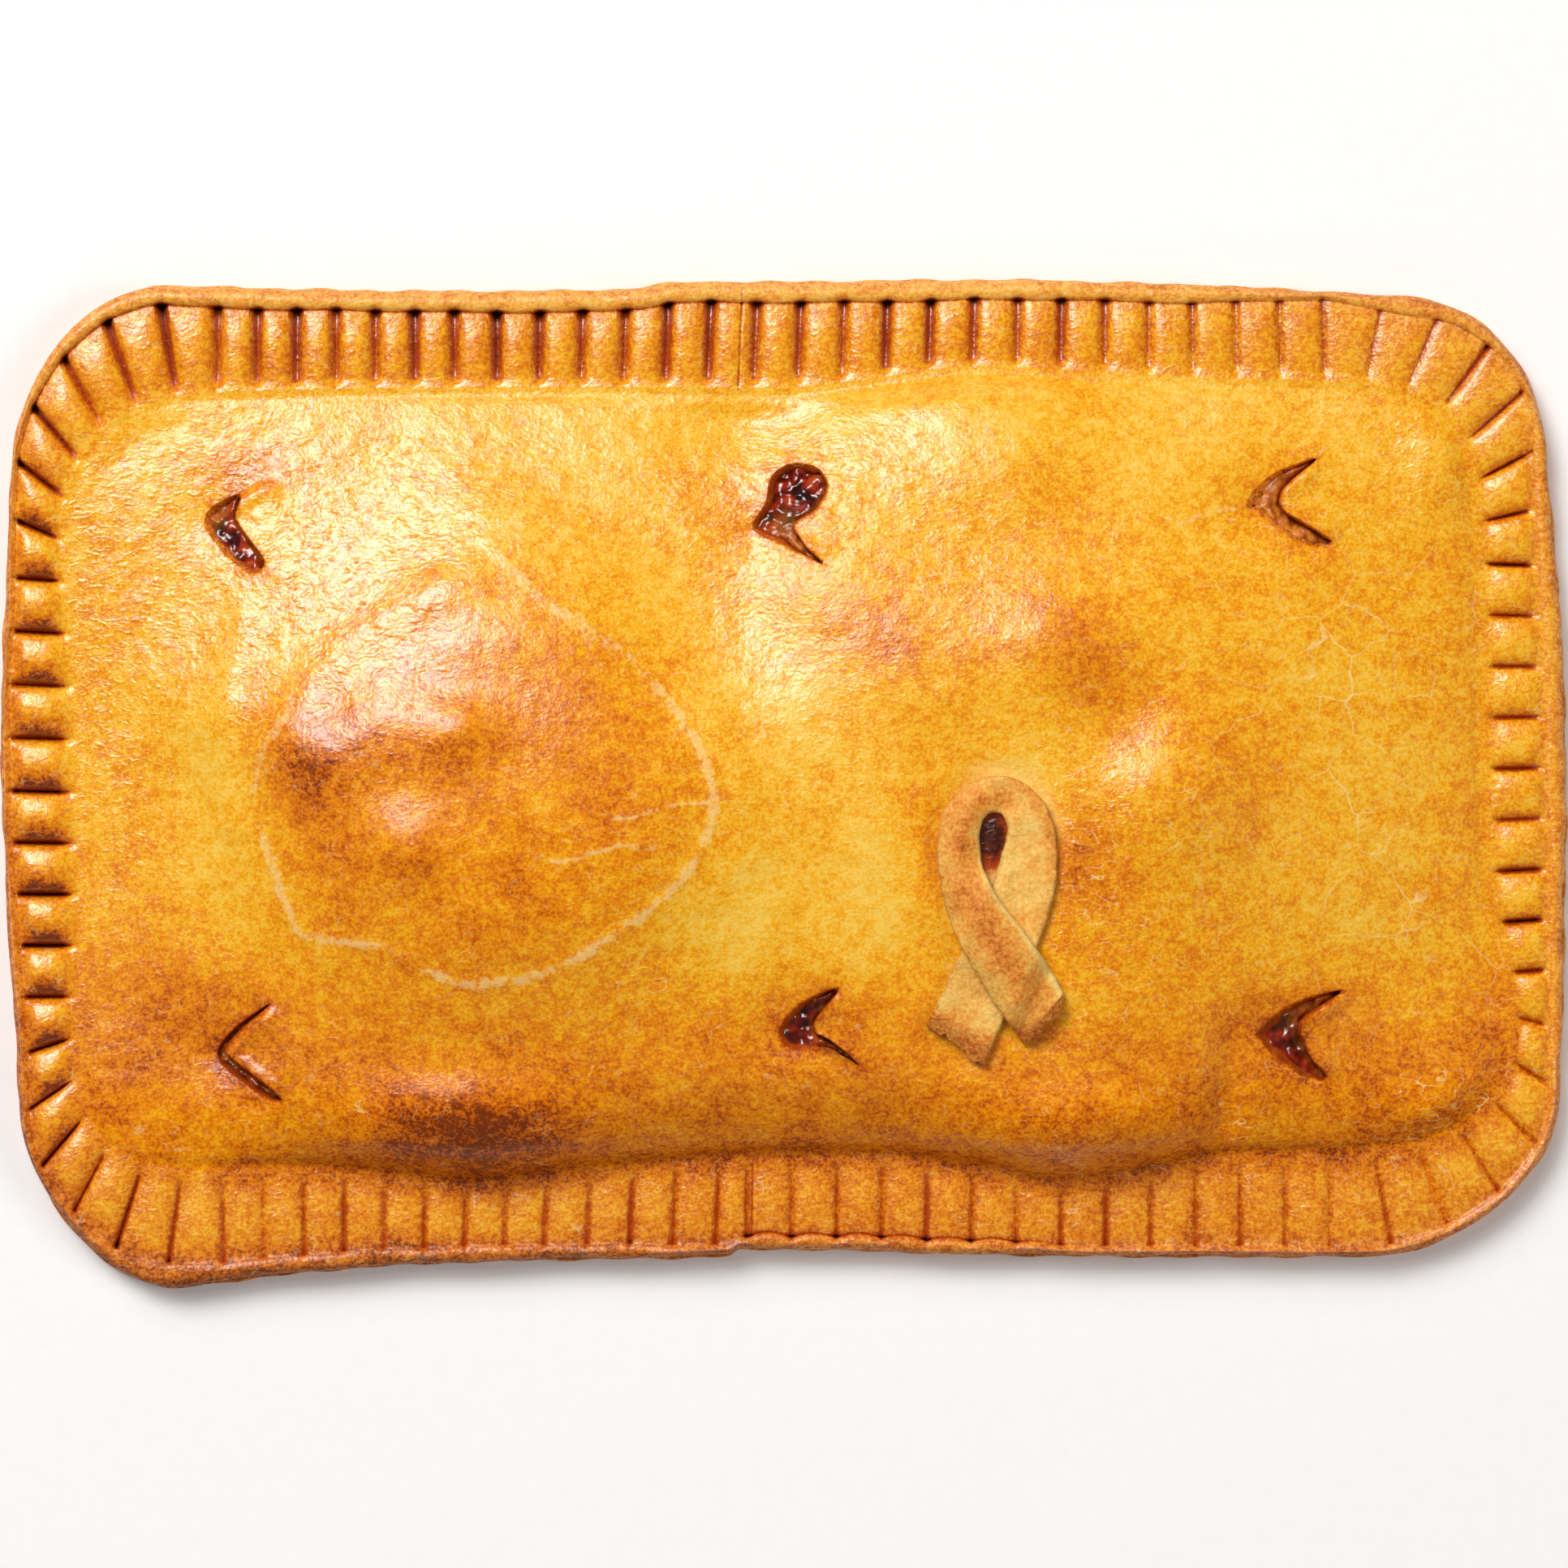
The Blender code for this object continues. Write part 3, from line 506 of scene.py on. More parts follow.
def pillow(places, inset, from_foot):
    """Height of the lid's plain pillow, from 0 to 1. The inset moves every flank inwards."""
    x, y = places.T
    left, left_width = PILLOW_LEFT
    right, right_width = PILLOW_RIGHT
    ends = rise_over(x - left - inset, left_width, STEEPNESS_OF_ENDS)
    ends *= rise_over(right - inset - x, right_width, STEEPNESS_OF_ENDS)
    foot_x, foot_y = np.array(FRONT_FOOT).T * MM
    from_front = y - np.interp(x, foot_x, foot_y) - inset
    foot_x, foot_y = np.array(BACK_FOOT[::-1]).T * MM
    from_back = np.interp(x, foot_x, foot_y) - inset - y
    flanks = SHARE_OF_SHOULDER * rise_over(from_front, FRONT_SHOULDER)
    flanks += (1 - SHARE_OF_SHOULDER) * rise_over(from_front, FRONT_SLOPE, STEEPNESS_OF_SLOPE)
    flanks *= rise_over(from_back, BACK_SLOPE)
    return ends * flanks * eased((from_foot - inset) / FILLET)


def dome(places, foot, depth):
    """Height of the plain lid or of a face that lies a depth inside it, from its own foot."""
    from_foot = distance_to_line(places, FOOT_PATH)[0]
    rise = FOOT_TOP + RISE - depth - foot
    edge = eased((from_foot - depth) / SWELLING_EDGE)
    return foot + rise * pillow(places, depth, from_foot) + bells(places, SWELLINGS) * MM * edge


def lid_top(places):
    """Height of the plain top of the lid inside its foot line."""
    return dome(places, FOOT_TOP, 0)


def lid_underside(places):
    """Height of the underside of the lid over the filling, a sheet's thickness inside the top."""
    return dome(places, POCKET_ROOF, LID_THICK)


def flap_wedge(cut):
    """Outline of the wedge of lid between the two arms of a cut, drawn out beyond their ends."""
    arms = [end + (end - bend) * 2 for end, bend in ((cut[0], cut[1]), (cut[-1], cut[-2]))]
    return np.vstack([cut[-2:0:-1], arms])


def flap_side(places, cut):
    """1 on the flap between the two arms of a cut, -1 outside it, 0 past the ends."""
    distance, along = distance_to_line(places, cut)
    sign = np.where(inside_outline(places, flap_wedge(cut)), 1.0, -1.0)
    fade = eased(np.minimum(along, 1 - along) / 0.12)
    return sign * eased(distance / (0.9 * MM)) * fade, distance


def foot_lip(places, from_foot):
    """The small welt along the back where the lid starts to rise."""
    back = eased((places[:, 1] - 68 * MM) / (6 * MM)) * eased((places[:, 0] + 112 * MM) / (14 * MM))
    return 0.2 * MM * back * hump(from_foot, 0.9 * MM)


def low_swells(places):
    """Height of the low swells, which the lid, its underside and the filling all follow."""
    fade = eased(distance_to_line(places, FOOT_PATH)[0] / SWELLING_EDGE)
    return bells(places, SWELLS) * MM * fade


def swelled_underside(places):
    """Height of the lid's real underside."""
    return lid_underside(places) + low_swells(places)


def lid_surface(places):
    """Height of the lid's real, uneven top inside its foot line."""
    from_foot = distance_to_line(places, FOOT_PATH)[0]
    inner = eased(from_foot / (6 * MM))
    height = lid_top(places) + foot_lip(places, from_foot)
    height += (lumps(places, 17 * MM, 0.35 * MM, 1) + lumps(places, 5 * MM, 0.12 * MM, 2)) * inner
    height += lumps(places, 2.4 * MM, 1 * MM, 3) * inner * (0.04 + 0.2 * lid_wrinkle(places))
    ring = distance_to_line(places, RING_PATH)[0]
    height += 0.25 * MM * hump(ring, 0.9 * MM) - 0.12 * MM * hump(ring, 3 * MM)
    height += low_swells(places)
    for (_, fold_height, half), line in zip(FOLDS, FOLD_PATHS):
        away, along = distance_to_line(places, line)
        fade = eased(np.minimum(along, 1 - along) / 0.2)
        height += fold_height * MM * hump(away, half * MM) * fade
    for split in SPLIT_PATHS:
        height += 0.12 * MM * hump(distance_to_line(places, split)[0], 0.6 * MM)
    for vent, cut in zip(VENTS, CUT_PATHS):
        near = np.linalg.norm(places - cut.mean(axis=0), axis=1) < CUT_REACH
        side, distance = flap_side(places[near], cut)
        height[near] += 1.7 * vent["flap"] * MM * side * np.exp(-distance / (5 * MM))
        height[near] += 0.3 * MM * hump(distance - 1.6 * MM, 1.2 * MM) * (side > 0)
    loop = distance_to_line(places, LOOP_PATH)[0]
    height -= 0.7 * MM * hump(np.maximum(loop - 4 * MM, 0), 3 * MM)
    crumple = bells(places, CRUMPLED) * eased(from_foot / (1.5 * MM))
    return height + lumps(places, 3.4 * MM, 0.9 * MM, 5) * crumple


LOOP_PATH = smooth_line([(x, y) for x, y, _ in LOOP_LINE], 6)


# Making and closing rings of edges


def at_height(places, height):
    """Puts a height to places seen from above."""
    return np.column_stack([places, np.broadcast_to(height, len(places))])


def ring_edges(bm, ring):
    """The edges from each vertex of a ring to the one before it."""
    return [bm.edges.get((ring[i], ring[i - 1])) for i in range(len(ring))]


def next_ring(bm, ring, points):
    """Extrudes a ring of edges and moves the new ring to the points. None starts the first one."""
    if ring is None:
        following = bmesh.ops.create_circle(bm, segments=len(points), radius=1)["verts"]
    else:
        grown = set(bmesh.ops.extrude_edge_only(bm, edges=ring_edges(bm, ring))["geom"])
        following = []
        for vert in ring:
            beyond = (edge.other_vert(vert) for edge in vert.link_edges)
            following.append(next(other for other in beyond if other in grown))
    for vert, point in zip(following, points):
        vert.co = point
    return following


def fill_ring(bm, ring):
    """Closes a ring with one face."""
    return bmesh.ops.contextual_create(bm, geom=ring_edges(bm, ring))["faces"]


def verts_of(faces):
    """Every vertex of some faces once, in a steady order."""
    return list(dict.fromkeys(vert for face in faces for vert in face.verts))


def places_of(verts):
    """Places of vertices seen from above."""
    return np.array([(vert.co.x, vert.co.y) for vert in verts])


def raise_to(verts, height):
    """Moves vertices to a height function."""
    for vert, z in zip(verts, height(places_of(verts))):
        vert.co.z = z


def stretched_grid(bm, cells, outline_at):
    """A grid of faces stretched to fill a rounded outline. Gives its faces."""
    across, along = cells
    grid = bmesh.ops.create_grid(bm, x_segments=across, y_segments=along, size=0.5)["verts"]
    u, v = (places_of(grid) + 0.5).T
    front = outline_at(FRONT_LEFT_FAN - CRIMPS + (FRONT_RIGHT_FAN + CRIMPS - FRONT_LEFT_FAN) * u)
    back = outline_at(BACK_LEFT_FAN + (BACK_RIGHT_FAN - BACK_LEFT_FAN) * u)
    left = outline_at(FRONT_LEFT_FAN + (BACK_LEFT_FAN - FRONT_LEFT_FAN) * v)
    right = outline_at(FRONT_RIGHT_FAN + (BACK_RIGHT_FAN - FRONT_RIGHT_FAN) * v)
    fans = (FRONT_LEFT_FAN, FRONT_RIGHT_FAN, BACK_LEFT_FAN, BACK_RIGHT_FAN)
    corners = outline_at(np.array(fans))
    u, v = u[:, None], v[:, None]
    places = front * (1 - v) + back * v + left * (1 - u) + right * u
    places -= corners[0] * (1 - u) * (1 - v) + corners[1] * u * (1 - v)
    places -= corners[2] * (1 - u) * v + corners[3] * u * v
    for vert, (x, y) in zip(grid, places):
        vert.co.x, vert.co.y = x, y
    return list(dict.fromkeys(face for vert in grid for face in vert.link_faces))


def pick_near(verts, reach):
    """The vertices that lie within reach of a vent."""
    return [vert for vert, near in zip(verts, close_cuts(places_of(verts), reach)) if near]


def by_opening(places, vent, steps=4):
    """Distance of places from the edge of a vent's opening, and whether they lie within it."""
    opening = smooth_line(vent["opening"], steps, closed=True)
    edge = np.vstack([opening, opening[:1]])
    return distance_to_line(places, edge)[0], inside_outline(places, opening)


def close_cuts(places, reach):
    """Which places lie within reach of a vent."""
    near = np.zeros(len(places), bool)
    for vent in VENTS:
        distance, within = by_opening(places, vent)
        near |= within | (distance < reach)
    return near


def refine_near_vents(bm, faces, reach):
    """Splits the cells near the vents in four."""
    near = set(pick_near(verts_of(faces), reach))
    edges = list(dict.fromkeys(e for v in near for e in v.link_edges if e.other_vert(v) in near))
    bmesh.ops.subdivide_edges(bm, edges=edges, cuts=1, use_grid_fill=True)


def fill_with_grid(bm, edges, cells, inset):
    """Fills a ring of edges with a grid that starts an inset inside the foot. Gives its faces."""
    grid = stretched_grid(bm, cells, lambda number: inward_from_foot(number, inset))
    rim = [edge for edge in dict.fromkeys(e for f in grid for e in f.edges) if edge.is_boundary]
    bmesh.ops.bridge_loops(bm, edges=edges + rim)
    return grid


def closed_mesh(bm, name, degrees):
    """Makes a mesh with outward faces, smooth but where they meet at more than an angle."""
    bmesh.ops.recalc_face_normals(bm, faces=list(bm.faces))
    bm.normal_update()
    for face in bm.faces:
        face.smooth = True
    for edge in bm.edges:
        edge.smooth = edge.calc_face_angle(0) < math.radians(degrees)
    mesh = bpy.data.meshes.new(name)
    bm.to_mesh(mesh)
    bm.free()
    return mesh


def in_scene(name, data):
    """An object made of the data and linked to the scene."""
    made = bpy.data.objects.new(name, data)
    bpy.context.scene.collection.objects.link(made)
    return made


def new_mesh_with(looks):
    """An empty mesh to build on, with a layer for each look."""
    bm = bmesh.new()
    for name in looks:
        bm.verts.layers.float.new(name)
    return bm


def pocket_wall(bm, inset, height, outer=()):
    """The low and the high ring of a wall round the pocket, which tapers inwards a little. Outer
    edges are joined to the low ring."""
    around = np.arange(POCKET_COLUMNS) * CRIMPS / POCKET_COLUMNS
    low = next_ring(bm, None, at_height(inward_from_foot(around, inset), POCKET_FLOOR))
    if outer:
        bmesh.ops.bridge_loops(bm, edges=outer + ring_edges(bm, low))
    wall = inward_from_foot(around, inset + POCKET_TAPER)
    return low, next_ring(bm, low, at_height(wall, height))


def add_piece(name, mesh, finish, slot, node):
    """Puts a finished mesh in the scene as the piece that stands for a solid."""
    mesh.materials.append(finish)
    piece = in_scene(name, mesh)
    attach(piece, "root")
    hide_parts(node)


# The lid


def rim_columns():
    """Crimp numbers of all the columns of the rim."""
    columns = {round(number + part, 4) for number in range(CRIMPS) for part in CRIMP_COLUMNS}
    for seam in (BACK_SEAM, FRONT_SEAM):
        clear = {c for c in columns if abs(c - seam) > SEAM_CLEARANCE}
        columns = clear | {c for c in columns if abs(c - round(c)) < 0.001}
        columns |= {round(seam + part, 4) for part in SEAM_COLUMNS}
    return np.array(sorted(columns))


def groove_at(crimp, q):
    """How far into a groove each place of the pressed band is: 1 in its middle, 0 on a pad."""
    number = np.round(crimp)
    wide = np.linalg.norm(edge_at(number + 0.5) - edge_at(number - 0.5), axis=1)
    narrow = np.linalg.norm(foot_at(number + 0.5) - foot_at(number - 0.5), axis=1)
    away = np.abs(crimp - number) * (wide + (narrow - wide) * q)
    half = along_rim(GROOVE_HALF_WIDTH, number)
    return np.exp(-((away / half) ** read_table(GROOVE_FLATNESS, number)))


def groove_length_profile(crimp, q):
    """Depth of a groove along its length, from its head at the bead to where it runs out."""
    right, left = read_table(RIGHT_END, crimp), read_table(LEFT_END, crimp)
    run_out = 1 - eased((q - 0.84) / 0.13)
    long_groove = (1 + 0.2 * hump(q - 0.03, 0.08)) * (1 - 0.4 * q) * run_out
    lens = eased(q / 0.22) * eased((0.99 - q) / 0.3)
    notch = eased(q / 0.06) * eased((1 - q) / 0.4)
    return long_groove * (1 - right - left) + lens * right + notch * left


def band_height(crimp, q, spread):
    """Height of the pressed band. q runs from 0 at the bead to 1 at the foot."""
    number = np.mod(np.round(crimp), CRIMPS).astype(int)
    pad = np.mod(np.floor(crimp), CRIMPS).astype(int)
    part = np.mod(crimp, 1)
    end = read_table(RIGHT_END, crimp) + read_table(LEFT_END, crimp)
    swell = along_rim(PAD_SWELL, crimp) * (1 - (2 * part - 1) ** 2)
    swell *= eased(q / 0.4) * (1 - end) + eased((q + 0.05) / 0.3) * end
    lean = LEAN_OF_PAD[pad] * (2 * part - 1) * 4 * part * (1 - part)
    depth = along_rim(GROOVE_DEPTH, crimp) * DEPTH_OF_CRIMP[number]
    groove = depth * groove_at(crimp, q) * groove_length_profile(crimp, q)
    level = PAD_TOP + (FOOT_TOP - PAD_TOP) * eased((q - 0.8) / 0.2)
    fade = (1 - 0.7 * eased((q - 0.7) / 0.3)) * (1 - end) + (1 - eased((q - 0.55) / 0.45)) * end
    lip = foot_lip(foot_at(crimp), (1 - q) * spread)
    return level + (swell + lean) * fade - groove + lip


def seam_at(crimp):
    """How far into one of the two seams each column is."""
    back, front = (hump(crimp - seam, SEAM_HALF_WIDTH) for seam in (BACK_SEAM, FRONT_SEAM))
    return back + 0.7 * front


def scalloped_bead(crimp):
    """Width of the bead with the scallops of its crease between the grooves."""
    part = np.mod(crimp, 1)
    scallop = along_rim(CREASE_SCALLOP, crimp) * np.sin(np.pi * part)
    wander = 0.12 * MM * np.sin(crimp * 2.1) + 0.1 * MM * np.sin(crimp * 0.77 + 1)
    return along_rim(BEAD_WIDTH, crimp) + scallop + wander


# Outside of the bead: distance in and height in millimetres
BEAD_OUTER = ((0.5, 3.15), (0.12, 3.5), (0.0, 4.3), (0.04, 5.2), (0.28, 6.15), (0.75, 6.85))
# Rows of the pressed band, as parts of the way from the bead to the foot
BAND_ROWS = (
    0.0, 0.035, 0.08, 0.14, 0.22, 0.31, 0.4, 0.5, 0.6, 0.7, 0.79, 0.86, 0.91, 0.95, 0.98, 1.0,
)


def rim_rows(crimp):
    """Rows of the rim from the under edge over the bead to the foot: distance in, height, looks."""
    bead = scalloped_bead(crimp)
    land = np.linalg.norm(foot_at(crimp) - edge_at(crimp), axis=1)
    seam = seam_at(crimp)
    part = np.mod(crimp, 1)
    right, left, back = (read_table(side, crimp) for side in (RIGHT_END, LEFT_END, BACK_SIDE))
    front = 1 - np.clip(back + left + right, 0, 1)
    bead_bake, pad_bake = read_table(BEAD_BAKE, crimp), read_table(PAD_BAKE, crimp)

    set_in = LID_SET_IN + 0.18 * MM * np.sin(crimp * 1.7) + 0.14 * MM * np.sin(crimp * 0.53 + 2)
    set_in += 0.35 * MM * hump(part - 0.5, 0.3) * right
    low_bake = np.minimum(bead_bake + 0.08, 1)
    rows = [(set_in + extra * MM, height * MM, low_bake, 0, 1) for extra, height in BEAD_OUTER]

    crown = set_in + 0.5 * (bead - set_in)
    inner = bead - 0.6 * MM
    wave = 0.1 * MM * np.sin(crimp * 2.9) + 0.08 * MM * np.sin(crimp * 1.3)
    dry = 0.5 - 0.3 * (right + left)
    crease = along_rim(CREASE_DEPTH, crimp)
    head = groove_at(crimp, 0) * along_rim(GROOVE_DEPTH, crimp) * (1 - right - 0.4 * left)
    number = np.mod(np.round(crimp), CRIMPS).astype(int)
    stain_level = read_table(GROOVE_STAIN, crimp) * STAIN_OF_CRIMP[number]
    # Syrup in the heads of the grooves and along the crease under the bead, darkest there partly as
    # painted shade in these recesses
    pit_stain = groove_at(crimp, 0) * (1 - right) * stain_level * 0.7 + crease / MM * 0.7
    rows += [
        (crown, BEAD_TOP + wave - 0.25 * MM * seam, bead_bake, 0.5 * seam, dry),
        (0.45 * crown + 0.55 * inner, BEAD_TOP + wave - 0.08 * MM, bead_bake, 0.5 * seam, dry),
        (inner, BEAD_TOP - 0.2 * MM + 0.5 * wave - 0.1 * head, bead_bake, 0.5 * seam, dry),
        (bead - 0.25 * MM, PAD_TOP + 0.3 * MM - 0.5 * (head + crease), bead_bake, pit_stain, dry),
    ]

    start = bead + 0.05 * MM
    length = land - start
    pitch = np.linalg.norm(edge_at(np.round(crimp) + 0.5) - edge_at(np.round(crimp) - 0.5), axis=1)
    from_groove = np.abs(crimp - np.round(crimp)) * pitch
    soft = hump(from_groove, along_rim(STAIN_HALF_WIDTH, crimp))
    # Painted shade on the side of each end pad that faces away from the light, and painted light
    # that makes the side facing it paler
    pad_shade_and_light = 0.56 * hump(1 - part, 0.34) * left + 0.2 * hump(part, 0.34) * right
    pad_shade_and_light -= 0.14 * hump(part - 0.24, 0.2) * (left + right)
    for q in BAND_ROWS:
        near_crease = hump(q * length, 0.35 * MM)
        height = band_height(crimp, q, length) - crease * near_crease
        height -= 0.35 * MM * seam * (1 - eased((q - 0.95) / 0.05))
        profile = groove_length_profile(crimp, q)
        # More of the dark at the heads and along the crease, partly painted shade
        stain = np.clip(profile * 1.25, 0, 1) + 0.4 * hump(q, 0.08) * (1 - right)
        stain = stain * soft * stain_level + near_crease * crease / MM * 1.3 + 0.55 * seam
        bake = pad_bake + (0.2 * stain_level * hump(from_groove, 2.2 * MM) + pad_shade_and_light) * profile
        bake += (bead_bake - bake) * (1 - eased(q / 0.3)) * (1 - back)
        meet = eased((q - 0.97) / 0.03) * back + eased((q - 0.6) / 0.4) * (1 - back)
        bake += (lid_bake(inward_from_edge(crimp, start + length * q)) - bake) * meet
        dull = dry * hump(q, 0.08) + 0.15 * front * (1 - meet)
        rows.append((start + length * q, height, bake, stain, dull))
    return rows


# Browner and paler patches of the lid: x, y, half length and half width in millimetres, change, and
# a flatness above 1 where the patch is even. Some are painted shade: in the loop's hole, in strips
# beside the loop's limbs and under the bulges at the front foot
BROWN_AND_SHADE_PATCHES = (
    (-56, -2, 42, 36, 0.26, 3.0), (-90, 6, 11, 10, 0.24), (-78, 34, 26, 16, 0.08),
    (-60, 6, 12, 6, 0.10), (-72, -14, 10, 6, 0.10), (-50, -26, 30, 12, 0.06), (20, 27, 12, 9, 0.30),
    (52, 29, 12, 9, 0.24), (60, 18, 11, 9, 0.22), (82, 4, 14, 16, 0.24), (27, -6, 9, 16, 0.16),
    (60, -22, 14, 12, 0.18), (62, 50, 14, 8, 0.06), (-124, -30, 22, 24, 0.10),
    (-130, 40, 20, 20, 0.10), (-102, 60, 9, 5, 0.36), (126, -20, 12, 20, 0.06),
    (-126, -36, 16, 20, 0.10), (40, 52, 36, 22, 0.08), (-60, 62, 50, 12, 0.06),
    (-8, 54, 12, 8, 0.24), (0, 34, 14, 10, 0.08), (92, 60, 14, 7, 0.12), (96, 42, 14, 10, 0.08),
    (108, 36, 16, 14, 0.04), (120, 26, 12, 20, 0.06), (95, -48, 24, 14, 0.12),
    (84, -26, 26, 16, 0.06), (5, -44, 24, 10, 0.10), (-100, -48, 26, 14, 0.08),
    (-58, -66, 20, 8, 0.46, 1.2), (54, -66, 24, 8, 0.12, 1.2), (110, -64, 22, 8, -0.03, 1.2),
    (0, -66, 30, 8, 0.08, 1.2), (-90, -8, 8, 22, 0.10), (-107, -6, 8, 26, -0.14),
    (-127, 8, 9, 14, 0.08), (-111, -41, 10, 9, 0.10), (1, 14, 11, 11, -0.10),
    (16, -12, 7, 16, -0.12), (58, -8, 7, 14, 0.16), (-8, -28, 11, 12, -0.14),
    (-80, 45, 30, 22, 0.04), (18, -26, 12, 14, -0.12), (38.8, -10.2, 4, 6.2, 0.75, 2.0),
    (45, 1.5, 10, 5, -0.2), (54, -14, 3, 12, 0.2), (27.5, -14, 3, 14, 0.12),
    (-30, 62, 50, 16, -0.06), (70, 66, 40, 8, -0.10), (74, 50, 26, 12, -0.05),
)
# In the same way: finely wrinkled, which also brings pale crinkle lines that are partly painted
# sheen; shining and dull; painted shade in the loop's hole; pale by its crossing
WRINKLED = (
    (-84, 52, 26, 16, 1.0), (-100, 30, 26, 22, 0.8), (-124, 46, 18, 22, 0.7),
    (-130, 10, 10, 34, 0.5), (18, 54, 18, 12, 0.7), (-20, 60, 40, 14, 0.4), (40, 40, 40, 14, 0.35),
    (62, 2, 20, 14, 0.5), (-10, 22, 12, 24, 0.45), (60, -30, 16, 14, 0.5), (100, 50, 12, 10, 0.4),
    (-92, -60, 16, 6, 0.5), (-26, -37, 7, 4, 1.0), (124, -62, 12, 8, 1.0), (124, 64, 10, 9, 0.8),
    (52, -74, 14, 3, 0.8), (86, -66, 5, 8, 0.8), (116, 0, 20, 34, 0.2), (57, -18, 6, 12, 0.8),
)
SHINING = (
    (52, -73, 12, 3, 0.6), (-78, 36, 24, 20, 0.45), (-52, -12, 32, 24, -0.7),
    (11, 44, 13, 14, -0.55),
)
SHADE_IN_LOOP_HOLE = ((38.8, -10.2, 4.5, 6.2, 0.95, 2.0),)
BY_CROSSING = ((39.6, -18.5, 2.2, 2.6, 0.8),)
LID_BAKE = 0.28
FRONT_BAKE = 0.29
# Where the glaze is crazed with hairlines: x, y, half length and half width in millimetres
CRAZED = (112, 2, 30, 40)
CRACK_REACH = 3.2 * MM


def lid_bake(places):
    """How brown the lid is baked inside the foot line, 0 to 1, browner along the foot at the right
    end.
    Painted shade makes it darker in the loop's hole, beside the loop, under the front bulges and
    along the front foot.
    """
    x, y = places.T
    bake = LID_BAKE + bells(places, BROWN_AND_SHADE_PATCHES) + FRONT_BAKE * eased((-24 * MM - y) / (34 * MM))
    bake += lumps(places, 9 * MM, 0.10, 11) + lumps(places, 3.5 * MM, 0.06, 13)
    from_foot = distance_to_line(places, FOOT_PATH)[0]
    # Painted shade: a darker strip along the front foot, where the lid meets the pads
    front_foot_shade = eased((-60 * MM - y) / (8 * MM)) * (np.abs(x) < 110 * MM)
    bake += 0.16 * hump(from_foot, 3.5 * MM) * front_foot_shade
    return bake + 0.14 * hump(from_foot, 9 * MM) * eased((x - 100 * MM) / (15 * MM))


def lid_crack(places):
    """Nearness to the crease round the blister and to the splits, 1 on them, 0 at CRACK_REACH."""
    ring = 1 - distance_to_line(places, RING_PATH)[0] / CRACK_REACH
    ring *= np.clip(0.94 + lumps(places, 6 * MM, 0.5, 12), 0.5, 1)
    for split in SPLIT_PATHS:
        near = 0.9 - distance_to_line(places, split)[0] / CRACK_REACH * 1.6
        ring = np.maximum(ring, near)
    return np.clip(ring, 0, 1)


def lid_pale(places):
    """Where the lid was covered and is paler: round the top of the loop and at its crossing."""
    x, y = places.T
    loop = distance_to_line(places, LOOP_PATH)[0]
    crown = eased((y + 14 * MM) / (8 * MM)) * eased((x - 32 * MM) / (6 * MM))
    pale = 0.3 * hump(loop - 4.4 * MM, 1.6 * MM) * crown + bells(places, BY_CROSSING)
    return np.clip(pale, 0, 1)


def lid_wrinkle(places):
    """Where the lid is finely wrinkled, 0 to 1."""
    return np.clip(0.4 + bells(places, WRINKLED), 0, 1)


def lid_shine(places):
    """How much egg wash shines on the lid: little down the front, where it ran off."""
    low = eased((-52 * MM - places[:, 1]) / (10 * MM))
    return np.clip(1 - 0.9 * low + bells(places, SHINING), 0, 1.25)


def lid_crazing(places):
    """Where the glaze is crazed, 0 to 1."""
    middle_x, middle_y, half_x, half_y = CRAZED
    x, y = places.T / MM
    return np.exp(-(((x - middle_x) / half_x) ** 4) - ((y - middle_y) / half_y) ** 4)


def set_looks(bm, verts, **looks):
    """Stores looks on vertices under their names."""
    for name, values in looks.items():
        layer = bm.verts.layers.float.get(name) or bm.verts.layers.float.new(name)
        for vert, value in zip(verts, np.broadcast_to(values, len(verts))):
            vert[layer] = value


# Looks kept on the vertices; the brownness and the stain also carry painted shade
LOOKS = ("bake", "stain", "dull", "pale", "crack", "wrinkle", "crazing", "shine")


def lid_with_rim():
    """The lid before its vents are cut, closed underneath."""
    crimp = rim_columns()
    bm = new_mesh_with(LOOKS)
    ring = None
    for distance, height, bake, stain, dull in rim_rows(crimp):
        ring = next_ring(bm, ring, at_height(inward_from_edge(crimp, distance), height))
        set_looks(bm, ring, bake=bake, stain=stain, dull=dull, wrinkle=0.6, shine=1.2)
    grid = fill_with_grid(bm, ring_edges(bm, ring), LID_CELLS, LID_INSET)
    refine_near_vents(bm, grid, LID_FINE_REACH)
    inner = [v for v in bm.verts if v.co.z == 0]
    raise_to(inner, lid_surface)
    places = places_of(inner)
    set_looks(
        bm, inner, bake=lid_bake(places), stain=bells(places, SHADE_IN_LOOP_HOLE), dull=0, pale=lid_pale(places),
        crack=lid_crack(places), wrinkle=lid_wrinkle(places), shine=lid_shine(places),
        crazing=lid_crazing(places),
    )

    under_edges = [edge for edge in bm.edges if edge.is_boundary]
    _, high = pocket_wall(bm, POCKET_INSET, POCKET_ROOF, under_edges)
    roof = fill_with_grid(bm, ring_edges(bm, high), ROOF_CELLS, POCKET_INSET + GRID_BORDER)
    raise_to(verts_of(roof), swelled_underside)
    return closed_mesh(bm, "uncut lid", CRISP)


def square_inward(outline):
    """Direction into a closed outline at each of its points."""
    square = left_of(np.roll(outline, -1, axis=0) - np.roll(outline, 1, axis=0))
    wrong = ~inside_outline(outline + square * 0.15 * MM, outline)
    square[wrong] *= -1
    return square


def width_inward(outline, square):
    """How far it is across a closed outline from each of its points."""
    width = np.full(len(outline), 0.3 * MM)
    going = np.ones(len(outline), bool)
    for reach in np.arange(0.3, 6, 0.2) * MM:
        going &= inside_outline(outline + square * reach, outline)
        width[going] = reach
    return width


